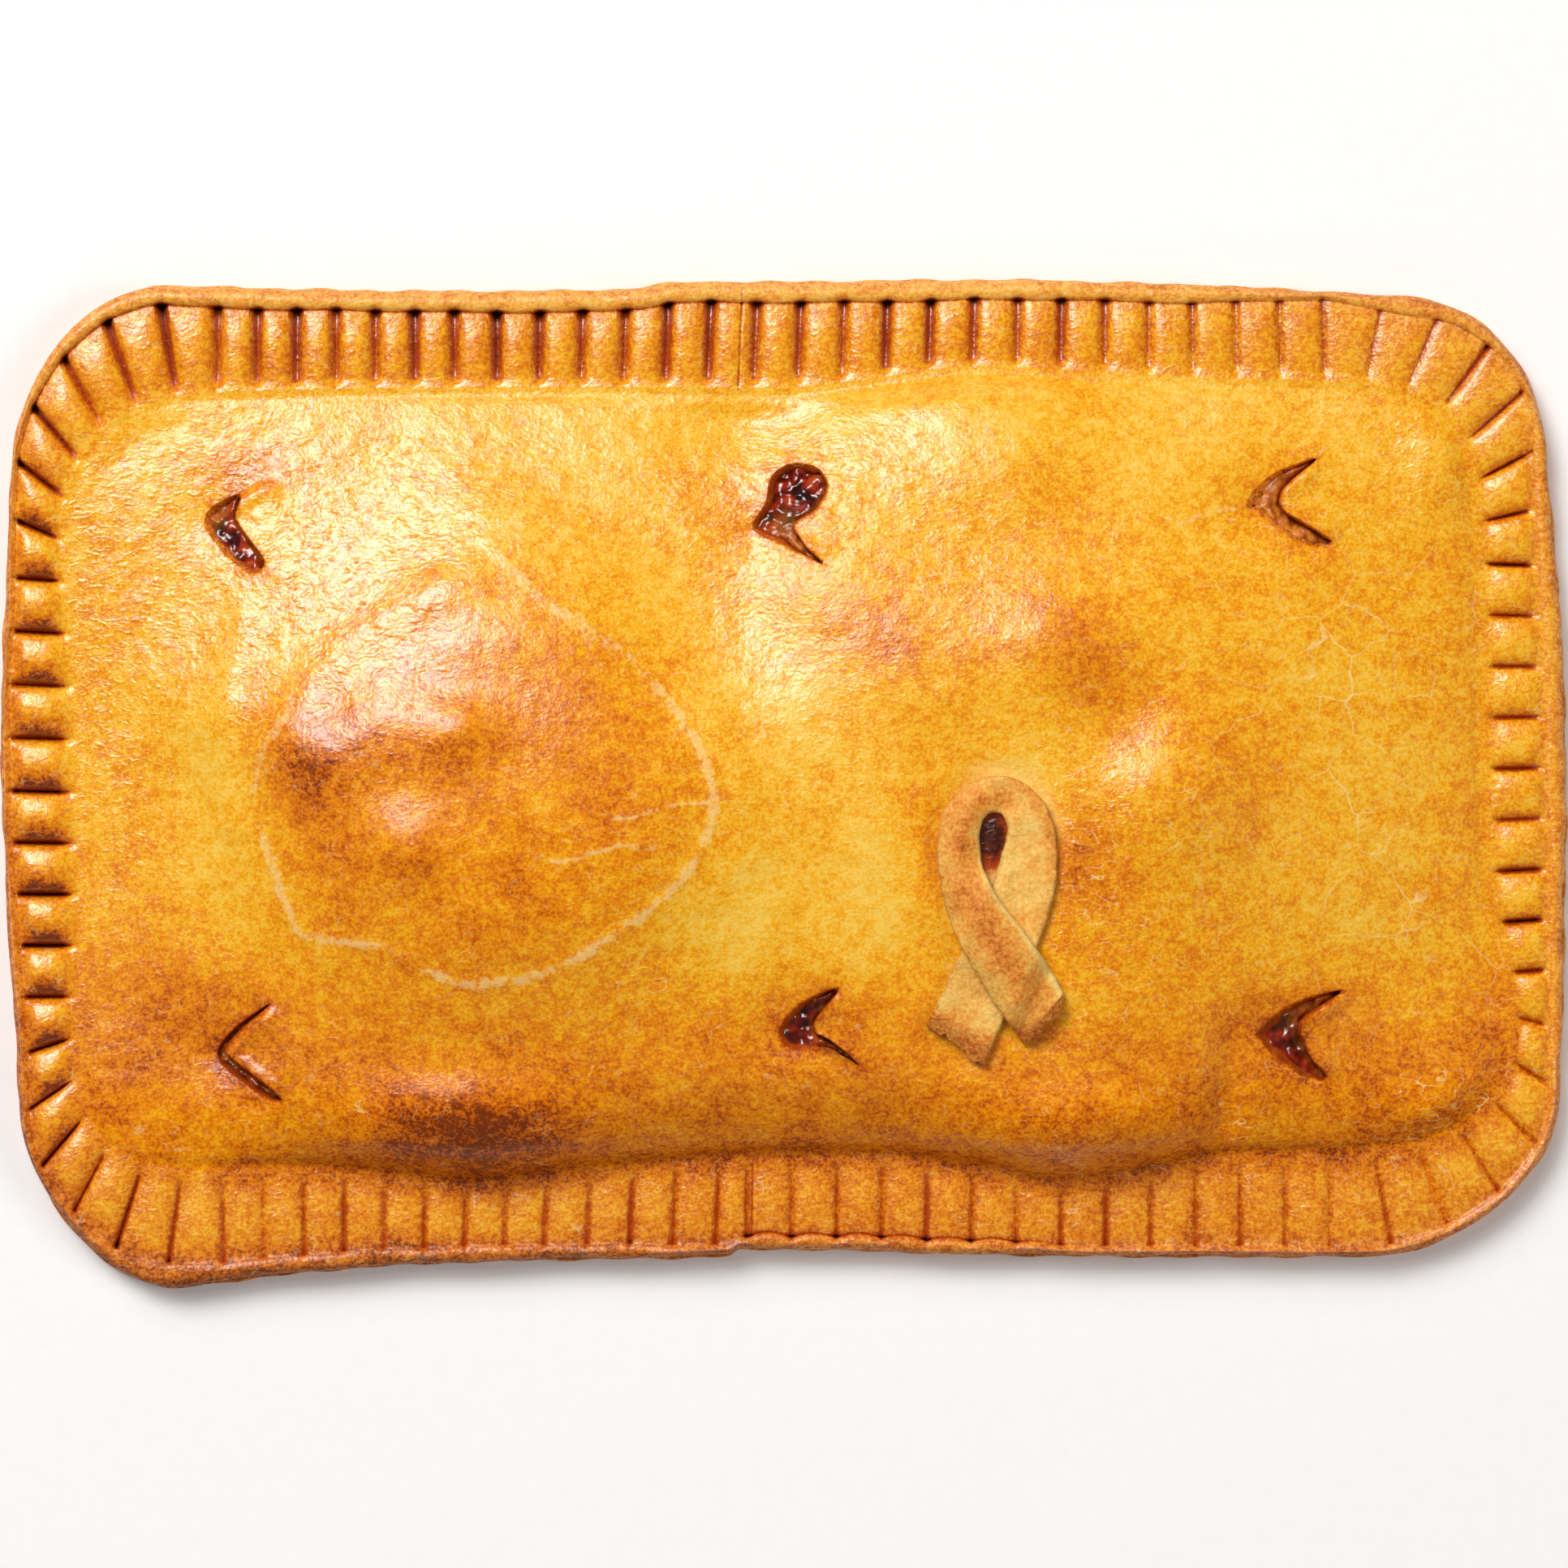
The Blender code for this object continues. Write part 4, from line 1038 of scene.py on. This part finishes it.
def vent_cutter():
    """One mesh of six cuts that slope in on their outer side, with rounded lips."""
    bm = bmesh.new()
    for number, (vent, cut) in enumerate(zip(VENTS, CUT_PATHS)):
        outline = smooth_line(vent["opening"], 5, closed=True)
        outline += lumps(outline, 1.1 * MM, 0.2 * MM, 20 + number)[:, None]
        square = square_inward(outline)
        on_flap = inside_outline(outline, flap_wedge(cut))
        slope = np.where(on_flap, FLAP_SLOPE, vent["slope"])
        shrink = square * (width_inward(outline, square) * slope)[:, None]
        lip = square * CUT_ROUNDING
        top = lid_surface(outline)
        rings = [None]
        for places, level in (
            (outline + shrink, float(lid_underside(outline).min()) - 3 * MM),
            (outline + shrink, top - 2.7 * MM),
            (outline + 0.3 * shrink, top - 0.9 * MM),
            (outline, top - 0.3 * MM),
            (outline - lip, top + 0.12 * MM),
            (outline - lip, float(top.max()) + 4 * MM),
        ):
            rings.append(next_ring(bm, rings[-1], at_height(places, level)))
        fill_ring(bm, rings[1])
        fill_ring(bm, rings[-1])
    return closed_mesh(bm, "vent cutter", CRISP)


def cut_lid():
    """The lid with its vents cut through, without points that only split an edge."""
    lid, cutter = in_scene("uncut lid", lid_with_rim()), in_scene("cutter", vent_cutter())
    cut = lid.modifiers.new("vents", "BOOLEAN")
    cut.operation = "DIFFERENCE"
    cut.object = cutter
    cut.solver = "MANIFOLD"
    bpy.context.view_layer.update()
    graph = bpy.context.evaluated_depsgraph_get()
    bm = bmesh.new()
    bm.from_object(lid, graph)
    for helper in (lid, cutter):
        bpy.data.objects.remove(helper)
    bmesh.ops.dissolve_verts(bm, verts=[v for v in bm.verts if len(v.link_edges) == 2])
    stain_vents(bm)
    return closed_mesh(bm, "lid", CRISP)


def stain_vents(bm):
    """Darkens the cut faces and their lips: browner walls, syrup on the lips, and painted shade
    deeper down the cuts.
    """
    verts = pick_near(bm.verts, 3 * MM)
    places = places_of(verts)
    level = np.array([vert.co.z for vert in verts])
    depth = np.clip((lid_surface(places) - level) / LID_THICK, 0, 1)
    edge = np.full(len(places), np.inf)
    lip = np.zeros(len(places))
    for vent in VENTS:
        distance, within = by_opening(places, vent, 5)
        distance[within] = 0
        edge = np.minimum(edge, distance)
        lip = np.maximum(lip, vent["lip"] * hump(distance, 0.7 * MM))
    bake = np.clip(lid_bake(places), 0, 1) + 0.12 * hump(edge, 2.2 * MM) + 0.28 * eased(depth * 4)
    # Painted shade, darker deeper down the cut
    stain = np.clip(lip + 0.55 * eased((depth - 0.45) / 0.55), 0, 1)
    dull, wrinkle = eased(depth * 3), lid_wrinkle(places)
    set_looks(bm, verts, bake=bake, stain=stain, dull=dull, wrinkle=wrinkle)


# The base sheet, the filling and the loop


# The base sheet's edge from its underside to its top: distance in and height in millimetres
BASE_ROWS = (
    (0.9, 0.0), (0.35, 0.12), (0.08, 0.6), (0.0, 1.2), (0.03, 1.9), (0.2, 2.5), (0.6, 2.8),
    (3.0, 2.8),
)


def base_mesh():
    """The flat sheet under the filling, with a rounded and slightly ragged edge."""
    crimp = np.arange(0, CRIMPS, 0.1)
    rag = 0.16 * MM * np.sin(crimp * 5.3) + 0.12 * MM * np.sin(crimp * 2.3 + 1) - 0.1 * MM
    rag = np.clip(rag, -0.3 * MM, 0.3 * MM)
    bake = np.clip(read_table(BEAD_BAKE, crimp) + 0.05, 0, 1)
    bm = new_mesh_with(LOOKS)
    rings = [None]
    for extra, height in BASE_ROWS:
        points = at_height(inward_from_edge(crimp, extra * MM - rag), height * MM)
        rings.append(next_ring(bm, rings[-1], points))
        set_looks(bm, rings[-1], bake=bake, dull=1, wrinkle=0.4)
    fill_ring(bm, rings[1])
    fill_ring(bm, rings[-1])
    return closed_mesh(bm, "base", CRISP_AT_WALL)


def filling_surface(places):
    """Height of the filling, rising in wet lumps where a vent lets it."""
    height = swelled_underside(places) - GAP
    for number, vent in enumerate(VENTS):
        distance, within = by_opening(places, vent)
        risen = (2.6 - 0.9 * vent["wet"]) * MM * (0.6 + 0.4 * eased(distance / (1.0 * MM)))
        rough = lumps(places, 2.2 * MM, 1.0 * MM, 30 + number)
        rough += lumps(places, 0.9 * MM, 0.25 * MM, 40 + number)
        height += within * risen + (within | (distance < 1.5 * MM)) * rough
    return height


def filling_crusted(places):
    """How brown and dry the filling is in the vents: along the cut dough and at a dry end."""
    crusted = np.zeros(len(places))
    for vent in VENTS:
        distance, within = by_opening(places, vent)
        dry_x, dry_y, reach = vent["dry"]
        dried = bells(places, ((dry_x, dry_y, reach, reach, 1),))
        crust = np.maximum(0.9 * hump(distance, 0.7 * MM), dried)
        crusted = np.maximum(crusted, (within | (distance < 1 * MM)) * crust)
    return crusted


def filling_mesh():
    """The filling, flat under and humped to the shape of the lid, lumpy at the vents."""
    inset = POCKET_INSET + FILLING_CLEARANCE
    bm = new_mesh_with(("crusted",))
    low, high = pocket_wall(bm, inset, FILLING_SHOULDER)
    fill_with_grid(bm, ring_edges(bm, high), FILLING_CELLS, inset + GRID_BORDER)
    fill_ring(bm, low)
    for reach in FILLING_FINE_REACHES:
        refine_near_vents(bm, [f for f in bm.faces if all(v.co.z == 0 for v in f.verts)], reach)
    top = [v for v in bm.verts if v.co.z == 0]
    set_looks(bm, top, crusted=filling_crusted(places_of(top)))
    raise_to(top, filling_surface)
    return closed_mesh(bm, "filling", CRISP_AT_WALL)


LOOP_END_SLANTS = (-2.0 * MM, -1.4 * MM)
# The strip's cross section: side -1 to 1 and height 0 to 1, its left flank and then its underside
LOOP_FLANK = (
    (-0.90, -0.22), (-0.99, 0.08), (-1.0, 0.34), (-0.97, 0.58), (-0.9, 0.76), (-0.8, 0.88),
    (-0.66, 0.94), (-0.5, 0.97), (-0.34, 0.99), (-0.17, 1.0),
)
LOOP_UNDER = ((0.45, -0.24), (0.0, -0.24), (-0.45, -0.24))
OTHER_FLANK = tuple((-side, rise) for side, rise in LOOP_FLANK[::-1])
LOOP_SIDES = (*LOOP_FLANK, (0.0, 1.0), *OTHER_FLANK, *LOOP_UNDER)


def loop_stations():
    """Middle line of the crossed loop with its width, and the way it runs at each point."""
    knots = np.array(LOOP_LINE) * MM
    line = np.vstack([curve_through(knots, np.gradient(knots, axis=0), LOOP_STEPS), knots[-1:]])
    return line, unit(np.gradient(line[:, :2], axis=0))


def cover_over(line, places):
    """How far a strip along a line lifts another that lies across it, at each place."""
    away = np.linalg.norm(places[:, None, :] - line[None, :, :2], axis=2)
    reach = (line[:, 2] / 2 + LOOP_COVER_MARGIN)[None, :] - away
    return (LOOP_THICK - 0.5 * MM) * eased(reach.max(axis=1) / LOOP_COVER_MARGIN)


def loop_mesh():
    """The crossed strip of dough, laid on the lid and over itself, with torn ends."""
    line, run = loop_stations()
    under = line[len(line) // 2 :]
    last = len(line) - 1
    side, rise = np.array(LOOP_SIDES).T
    top = np.clip(rise, 0, 1)
    bm = new_mesh_with(("bake", "edge"))
    ring = None
    for number, (station, way) in enumerate(zip(line, run)):
        along = number / last * (len(LOOP_LINE) - 1)
        from_end = min(number, last - number)
        square = np.array([way[1], -way[0]])
        places = station[:2] + (side * station[2] / 2)[:, None] * square
        places += lumps(places, 2.6 * MM, 0.3 * MM, 51)[:, None] * square
        outward = way * (1 if number > last / 2 else -1)
        slant = LOOP_END_SLANTS[number > last / 2] * side[:, None] * hump(from_end, 5)
        places += slant * outward
        if from_end == 0:
            places += (lumps(places, 1.4 * MM, 2.2 * MM, 52)[:, None] + 0.2 * MM) * outward
        lift = cover_over(under, places) * eased(LOOP_CROSSING - along)
        front = 1 - eased((along - 5.2) / 1.6)
        crown = front * (0.5 * (1 - side**2) - 0.2) - (1 - front) * 0.3 * (1 - side**2)
        crown += 0.16 * front * hump(side - 0.86, 0.12)
        thick = LOOP_THICK * (1 + crown * top + 0.05 * math.sin(along * 4.3))
        uneven = lumps(places, 3 * MM, 0.35 * MM, 53) + lumps(places, 1.2 * MM, 0.12 * MM, 54)
        uneven *= top
        droop = 0.5 * MM * hump(from_end, 3) * top
        points = at_height(places, lid_surface(places) + rise * thick + lift + uneven - droop)
        ring = next_ring(bm, ring, points)
        if number == 0:
            start = ring
        bake = 0.32 + 0.24 * hump(along - 4.8, 2.4) * hump(side - 0.1, 0.8)
        bake += 0.24 * hump(along - 1.6, 1.9) * hump(side + 0.1, 0.7)
        bake -= 0.08 * hump(along - 9, 1.8) * hump(side - 0.2, 0.8)
        bake += lumps(places, 4 * MM, 0.18, 55) + 0.2 * hump(along - 8, 2) * hump(side + 0.9, 0.4)
        # The ends are browner where torn; the inner right edge of the front limb is paler, a pale
        # torn lip that is partly a painted highlight
        bake += 0.36 * hump(from_end, 5) - 0.4 * hump(side - 0.95, 0.12) * front
        edge = eased((np.abs(side) - 0.85) / 0.15) + hump(from_end, 4)
        set_looks(bm, ring, bake=bake, edge=np.clip(edge, 0, 1))
    for end, inward in ((start, run[0]), (ring, -run[-1])):
        middle = sum((vert.co for vert in end), Vector()) / len(end)
        points = [vert.co.lerp(middle, 0.35) - Vector((*inward, 0)) * 0.5 * MM for vert in end]
        rounded = next_ring(bm, end, points)
        set_looks(bm, rounded, bake=0.62, edge=1)
        bmesh.ops.triangulate(bm, faces=fill_ring(bm, rounded), ngon_method="BEAUTY")
    return closed_mesh(bm, "loop", CRISP)


# Finishes


def linear(red, green, blue):
    """A colour given as 0 to 255 on screen, as light."""
    shades = []
    for shade in (red, green, blue):
        part = shade / 255
        shades.append(part / 12.92 if part <= 0.04045 else ((part + 0.055) / 1.055) ** 2.4)
    return (*shades, 1)


class Finish:
    """A material with short ways to add nodes. Each gives the new node's output."""

    def __init__(self, name):
        self.material = bpy.data.materials.new(name)
        self.material.use_nodes = True
        self.place = self.node("TexCoord", {}, "Object")

    def fill(self, node, inputs):
        """Sets or joins a node's inputs, which are named or numbered."""
        for name, source in inputs.items():
            if isinstance(source, bpy.types.NodeSocket):
                self.material.node_tree.links.new(source, node.inputs[name])
            else:
                node.inputs[name].default_value = source

    def node(self, kind, inputs, output=0, **settings):
        node = self.material.node_tree.nodes.new("ShaderNode" + kind)
        for name, value in settings.items():
            setattr(node, name, value)
        self.fill(node, inputs)
        return node.outputs[output]

    def attribute(self, name):
        return self.node("Attribute", {}, "Fac", attribute_name=name)

    def math(self, operation, total, *others, clamp=False):
        """Works an operation through the values, two at a time."""
        for value in others:
            inputs = {0: total, 1: value}
            total = self.node("Math", inputs, operation=operation, use_clamp=clamp)
        return total

    def sum(self, *values, clamp=False):
        return self.math("ADD", *values, clamp=clamp)

    def product(self, *values):
        return self.math("MULTIPLY", *values)

    def largest(self, *values):
        return self.math("MAXIMUM", *values)

    def about(self, value, size):
        """The value's distance above or below a half, times a size."""
        return self.product(self.math("SUBTRACT", value, 0.5), size)

    def between(self, value, low, high, to_low=0.0, to_high=1.0):
        """The value's place between two limits, eased."""
        inputs = {0: value, 1: low, 2: high, 3: to_low, 4: to_high}
        return self.node("MapRange", inputs, interpolation_type="SMOOTHSTEP")

    def grain(self, scale, detail=2.0, roughness=0.5, where=None, kind="FBM", distortion=0.0):
        inputs = {"Vector": where or self.place, "Scale": scale, "Detail": detail}
        inputs.update(Roughness=roughness, Distortion=distortion)
        return self.node("TexNoise", inputs, "Fac", noise_type=kind)

    def shifted(self, place, scale, reach):
        """Places moved about a little, so that a pattern read there isn't straight."""
        wander = self.node("TexNoise", {"Vector": place, "Scale": scale, "Detail": 3}, "Color")
        shift = self.node("VectorMath", {0: wander, "Scale": reach}, operation="SCALE")
        return self.node("VectorMath", {0: place, 1: shift}, operation="ADD")

    def stretched(self, x, y, z, degrees):
        turn = (0, 0, math.radians(degrees))
        return self.node("Mapping", {"Vector": self.place, "Scale": (x, y, z), "Rotation": turn})

    def ramp(self, value, stops):
        shade = self.node("ValToRGB", {"Fac": value})
        marks = shade.node.color_ramp.elements
        while len(marks) < len(stops):
            marks.new(0.5)
        for mark, (place, colour) in zip(marks, stops):
            mark.position = place
            mark.color = linear(*colour)
        return shade

    def mix(self, part, first, second):
        return self.node("Mix", {0: part, 6: first, 7: second}, 2, data_type="RGBA")

    def bump(self, height, depth):
        return self.node("Bump", {"Height": height, "Distance": depth})

    def set(self, **values):
        """Fills the shader's inputs and gives the material."""
        named = {name.replace("_", " ").title(): value for name, value in values.items()}
        named = {name.replace("Ior", "IOR"): value for name, value in named.items()}
        self.fill(self.material.node_tree.nodes["Principled BSDF"], named)
        return self.material


# Shades from pale to dark, as place on the scale and colour
CRUST_SHADES = (
    (0.0, (253, 206, 84)), (0.3, (250, 180, 24)), (0.5, (240, 146, 8)), (0.7, (220, 116, 5)),
    (0.85, (186, 84, 8)), (1.0, (128, 52, 12)),
)
DULL_SHADES = (
    (0.0, (250, 206, 134)), (0.4, (238, 166, 84)), (0.7, (200, 110, 42)), (1.0, (118, 56, 20)),
)
LOOP_SHADES = (
    (0.0, (252, 214, 126)), (0.3, (244, 186, 88)), (0.55, (232, 148, 56)), (0.8, (198, 100, 30)),
    (1.0, (118, 54, 18)),
)
WET_SHADES = (
    (0.38, (34, 8, 5)), (0.5, (104, 18, 8)), (0.62, (164, 42, 12)), (0.85, (200, 104, 46)),
)
BROWNED_SHADES = ((0.3, (140, 64, 14)), (0.5, (196, 106, 26)), (0.7, (236, 156, 56)))
PAPER_SHADES = ((0.0, (250, 250, 250)), (1.0, (255, 255, 255)))
RUST = (176, 66, 6)
# Dark syrup, also the colour of painted shade in recesses
SYRUP_AND_SHADE = (62, 18, 6)
# Pale dough of the cracks and crinkles, also the colour of painted sheen on the crinkles
PALE_DOUGH = (255, 222, 150)


def crust_finish(name):
    """Egg-washed baked crust: mottled gold to brown, dark syrup in the grooves, pale cracks, with
    painted shade from the looks and painted sheen on the crinkles.
    """
    finish = Finish(name)
    looks = ("bake", "stain", "dull", "wrinkle")
    bake, stain, dull, wrinkled = (finish.attribute(look) for look in looks)
    speckle = finish.grain(1700, 2, 0.6)
    fleck = finish.grain(850, 2, 0.55)
    mottle = finish.grain(360, 4, 0.62)
    change = finish.sum(
        finish.about(finish.between(speckle, 0.36, 0.64), 0.16),
        finish.about(finish.between(fleck, 0.36, 0.64), 0.15),
        finish.about(finish.between(mottle, 0.34, 0.66), 0.18),
        finish.about(finish.grain(95, 2, 0.5), 0.22),
    )
    level = finish.sum(bake, change, clamp=True)
    glazed, matt = finish.ramp(level, CRUST_SHADES), finish.ramp(level, DULL_SHADES)
    colour = finish.mix(finish.product(dull, 0.85), glazed, matt)

    # Pale lines: the crease and the splits, the hairlines of the glaze, and curled crinkles, which
    # are partly painted sheen
    line = finish.sum(finish.attribute("crack"), finish.about(finish.grain(520, 3, 0.7), 1.3))
    line = finish.product(finish.between(line, 0.6, 0.92), 0.5)
    warped = finish.shifted(finish.place, 220, 0.003)
    cells = finish.node(
        "TexVoronoi", {"Vector": warped, "Scale": 84}, "Distance", feature="DISTANCE_TO_EDGE"
    )
    hairline = finish.product(
        finish.between(cells, 0.004, 0.018, 1.0, 0.0),
        finish.between(finish.grain(60, 3, 0.6), 0.44, 0.6),
        finish.attribute("crazing"), 0.72,
    )
    bent = finish.shifted(finish.stretched(0.6, 1, 1, 12), 500, 0.0012)
    crinkle_and_sheen = finish.math("SUBTRACT", finish.grain(330, 1.2, 0.5, bent), 0.5)
    crinkle_and_sheen = finish.between(finish.math("ABSOLUTE", crinkle_and_sheen, 0.0), 0.0, 0.016, 1.0, 0.0)
    broken = finish.product(finish.between(finish.grain(210, 2, 0.5), 0.46, 0.66), 0.5)
    crinkle_and_sheen = finish.product(crinkle_and_sheen, finish.sum(broken, 0.25), wrinkled)
    pale = finish.largest(line, hairline, crinkle_and_sheen, finish.attribute("pale"))
    colour = finish.mix(pale, colour, linear(*PALE_DOUGH))

    # Dark syrup in the grooves and on the vent lips; the same colours paint shade in the loop's
    # hole, at the groove heads, along the crease and deep in the cuts
    ragged = finish.sum(stain, finish.about(fleck, 0.35), finish.about(speckle, 0.25))
    syrup = finish.mix(finish.between(ragged, 0.6, 1.0), linear(*RUST), linear(*SYRUP_AND_SHADE))
    colour = finish.mix(finish.between(ragged, 0.12, 0.62), colour, syrup)

    along = finish.stretched(0.6, 1, 1, 10)
    wrinkle = finish.grain(880, 2.5, 0.55, along, "RIDGED_MULTIFRACTAL", 0.6)
    height = finish.sum(
        finish.product(speckle, 0.05), finish.product(fleck, 0.09),
        finish.product(wrinkle, wrinkled, 0.23),
    )
    normal = finish.bump(height, 0.001)
    rough = finish.sum(
        finish.product(fleck, 0.14), finish.product(dull, 0.26), finish.product(stain, -0.12), 0.26
    )
    washed = finish.math("SUBTRACT", 1.0, dull, clamp=True)
    return finish.set(
        base_color=colour, roughness=rough, normal=normal, specular_ior_level=0.2,
        coat_weight=finish.product(washed, finish.attribute("shine"), 0.8),
        coat_roughness=0.23, coat_ior=1.6, coat_normal=normal,
    )


def filling_finish():
    """Wet, dark tuna and tomato, browned and dry where it has baked."""
    finish = Finish("wet tuna filling")
    crusted = finish.attribute("crusted")
    clump = finish.grain(300, 2, 0.5)
    strand = finish.grain(700, 3, 0.6, finish.stretched(1, 0.3, 1, 30))
    wet, browned = finish.ramp(clump, WET_SHADES), finish.ramp(strand, BROWNED_SHADES)
    height = finish.sum(finish.product(clump, 0.6), finish.product(strand, 0.4))
    return finish.set(
        base_color=finish.mix(crusted, wet, browned), normal=finish.bump(height, 0.0004),
        roughness=finish.sum(finish.product(clump, 0.15), finish.product(crusted, 0.3), 0.1),
        coat_weight=finish.between(crusted, 0.1, 0.9, 0.9, 0.2), coat_roughness=0.1,
        specular_ior_level=0.35,
    )


def loop_finish():
    """Plain baked dough: dry, pale tan, browner on its crown, crumbly at its torn ends."""
    finish = Finish("plain baked dough")
    speckle = finish.grain(1300, 3, 0.65)
    fleck = finish.grain(420, 2, 0.5)
    crumb = finish.product(finish.grain(900, 4, 0.75), finish.attribute("edge"), 2.4)
    level = finish.sum(finish.attribute("bake"), finish.about(speckle, 1.1))
    level = finish.sum(level, finish.about(fleck, 0.4), clamp=True)
    return finish.set(
        base_color=finish.ramp(level, LOOP_SHADES),
        roughness=finish.sum(finish.product(fleck, 0.15), 0.5),
        normal=finish.bump(finish.sum(finish.product(speckle, 0.5), crumb), 0.0005),
        specular_ior_level=0.25,
    )


# Floor, light and camera

# Metres over the tray: the camera, and the level at which the frame is so wide
CAMERA_HEIGHT = 1.155
FRAME_WIDTH = 0.2991
FRAME_LEVEL = 0.005
# Width of the camera's sensor in millimetres, and the strength of the light all round
SENSOR = 36
ROOM_LIGHT = 0.10


def add_light(name, place, size, power, colour, shine=True):
    """A soft oval light that points at the pie. Without shine it makes no reflections."""
    lamp = bpy.data.lights.new(name, "AREA")
    lamp.shape = "ELLIPSE"
    lamp.size, lamp.size_y = size
    lamp.energy, lamp.color = power, colour
    light = in_scene(name, lamp)
    light.location = place
    way = Vector((0, 0, 0.02)) - Vector(place)
    light.rotation_euler = way.to_track_quat("-Z", "Y").to_euler()
    light.visible_glossy = shine


def set_stage():
    """Pale floor, soft light and the camera straight above."""
    bm = bmesh.new()
    bmesh.ops.create_grid(bm, x_segments=1, y_segments=1, size=3)
    mesh = bpy.data.meshes.new("floor")
    bm.to_mesh(mesh)
    bm.free()
    paper = Finish("white paper")
    tooth = paper.grain(300, 2)
    shade, normal = paper.ramp(tooth, PAPER_SHADES), paper.bump(tooth, 0.00002)
    mesh.materials.append(paper.set(base_color=shade, roughness=0.9, normal=normal))
    floor = in_scene("floor", mesh)

    world = bpy.data.worlds.new("studio")
    world.use_nodes = True
    back = world.node_tree.nodes["Background"]
    back.inputs["Color"].default_value = (1, 1, 1, 1)
    back.inputs["Strength"].default_value = ROOM_LIGHT
    bpy.context.scene.world = world

    warm, warmer = (1, 0.985, 0.97), (1, 0.98, 0.96)
    add_light("softbox", (-1.05, 1.50, 2.05), (2.4, 2.4), 48, warm)
    add_light("middle of the softbox", (-1.02, 1.46, 2.0), (1.05, 1.05), 31, warm)
    add_light("side fill", (1.9, -0.3, 1.5), (1.2, 1.2), 15, warmer, shine=False)
    add_light("front fill", (0.2, -1.9, 1.3), (1.4, 1.0), 5, warmer, shine=False)

    lens = bpy.data.cameras.new("camera")
    lens.sensor_width = SENSOR
    lens.lens = SENSOR * (CAMERA_HEIGHT - FRAME_LEVEL) / FRAME_WIDTH
    lens.clip_end = 10
    camera = in_scene("camera", lens)
    camera.location = (0, 0, CAMERA_HEIGHT)
    bpy.context.scene.camera = camera
    bpy.context.scene.view_settings.view_transform = "Standard"


for piece in (
    ("crimped_lid", cut_lid(), crust_finish("egg-washed crust"), "lid_crust", "lid_sheet"),
    ("base_of_dough", base_mesh(), crust_finish("dry baked edge"), "base_dough", "base_sheet"),
    ("tuna_mass", filling_mesh(), filling_finish(), "tuna_filling", "filling"),
    ("crossed_loop", loop_mesh(), loop_finish(), "loop_dough", "dough_loop"),
):
    add_piece(*piece)
set_stage()
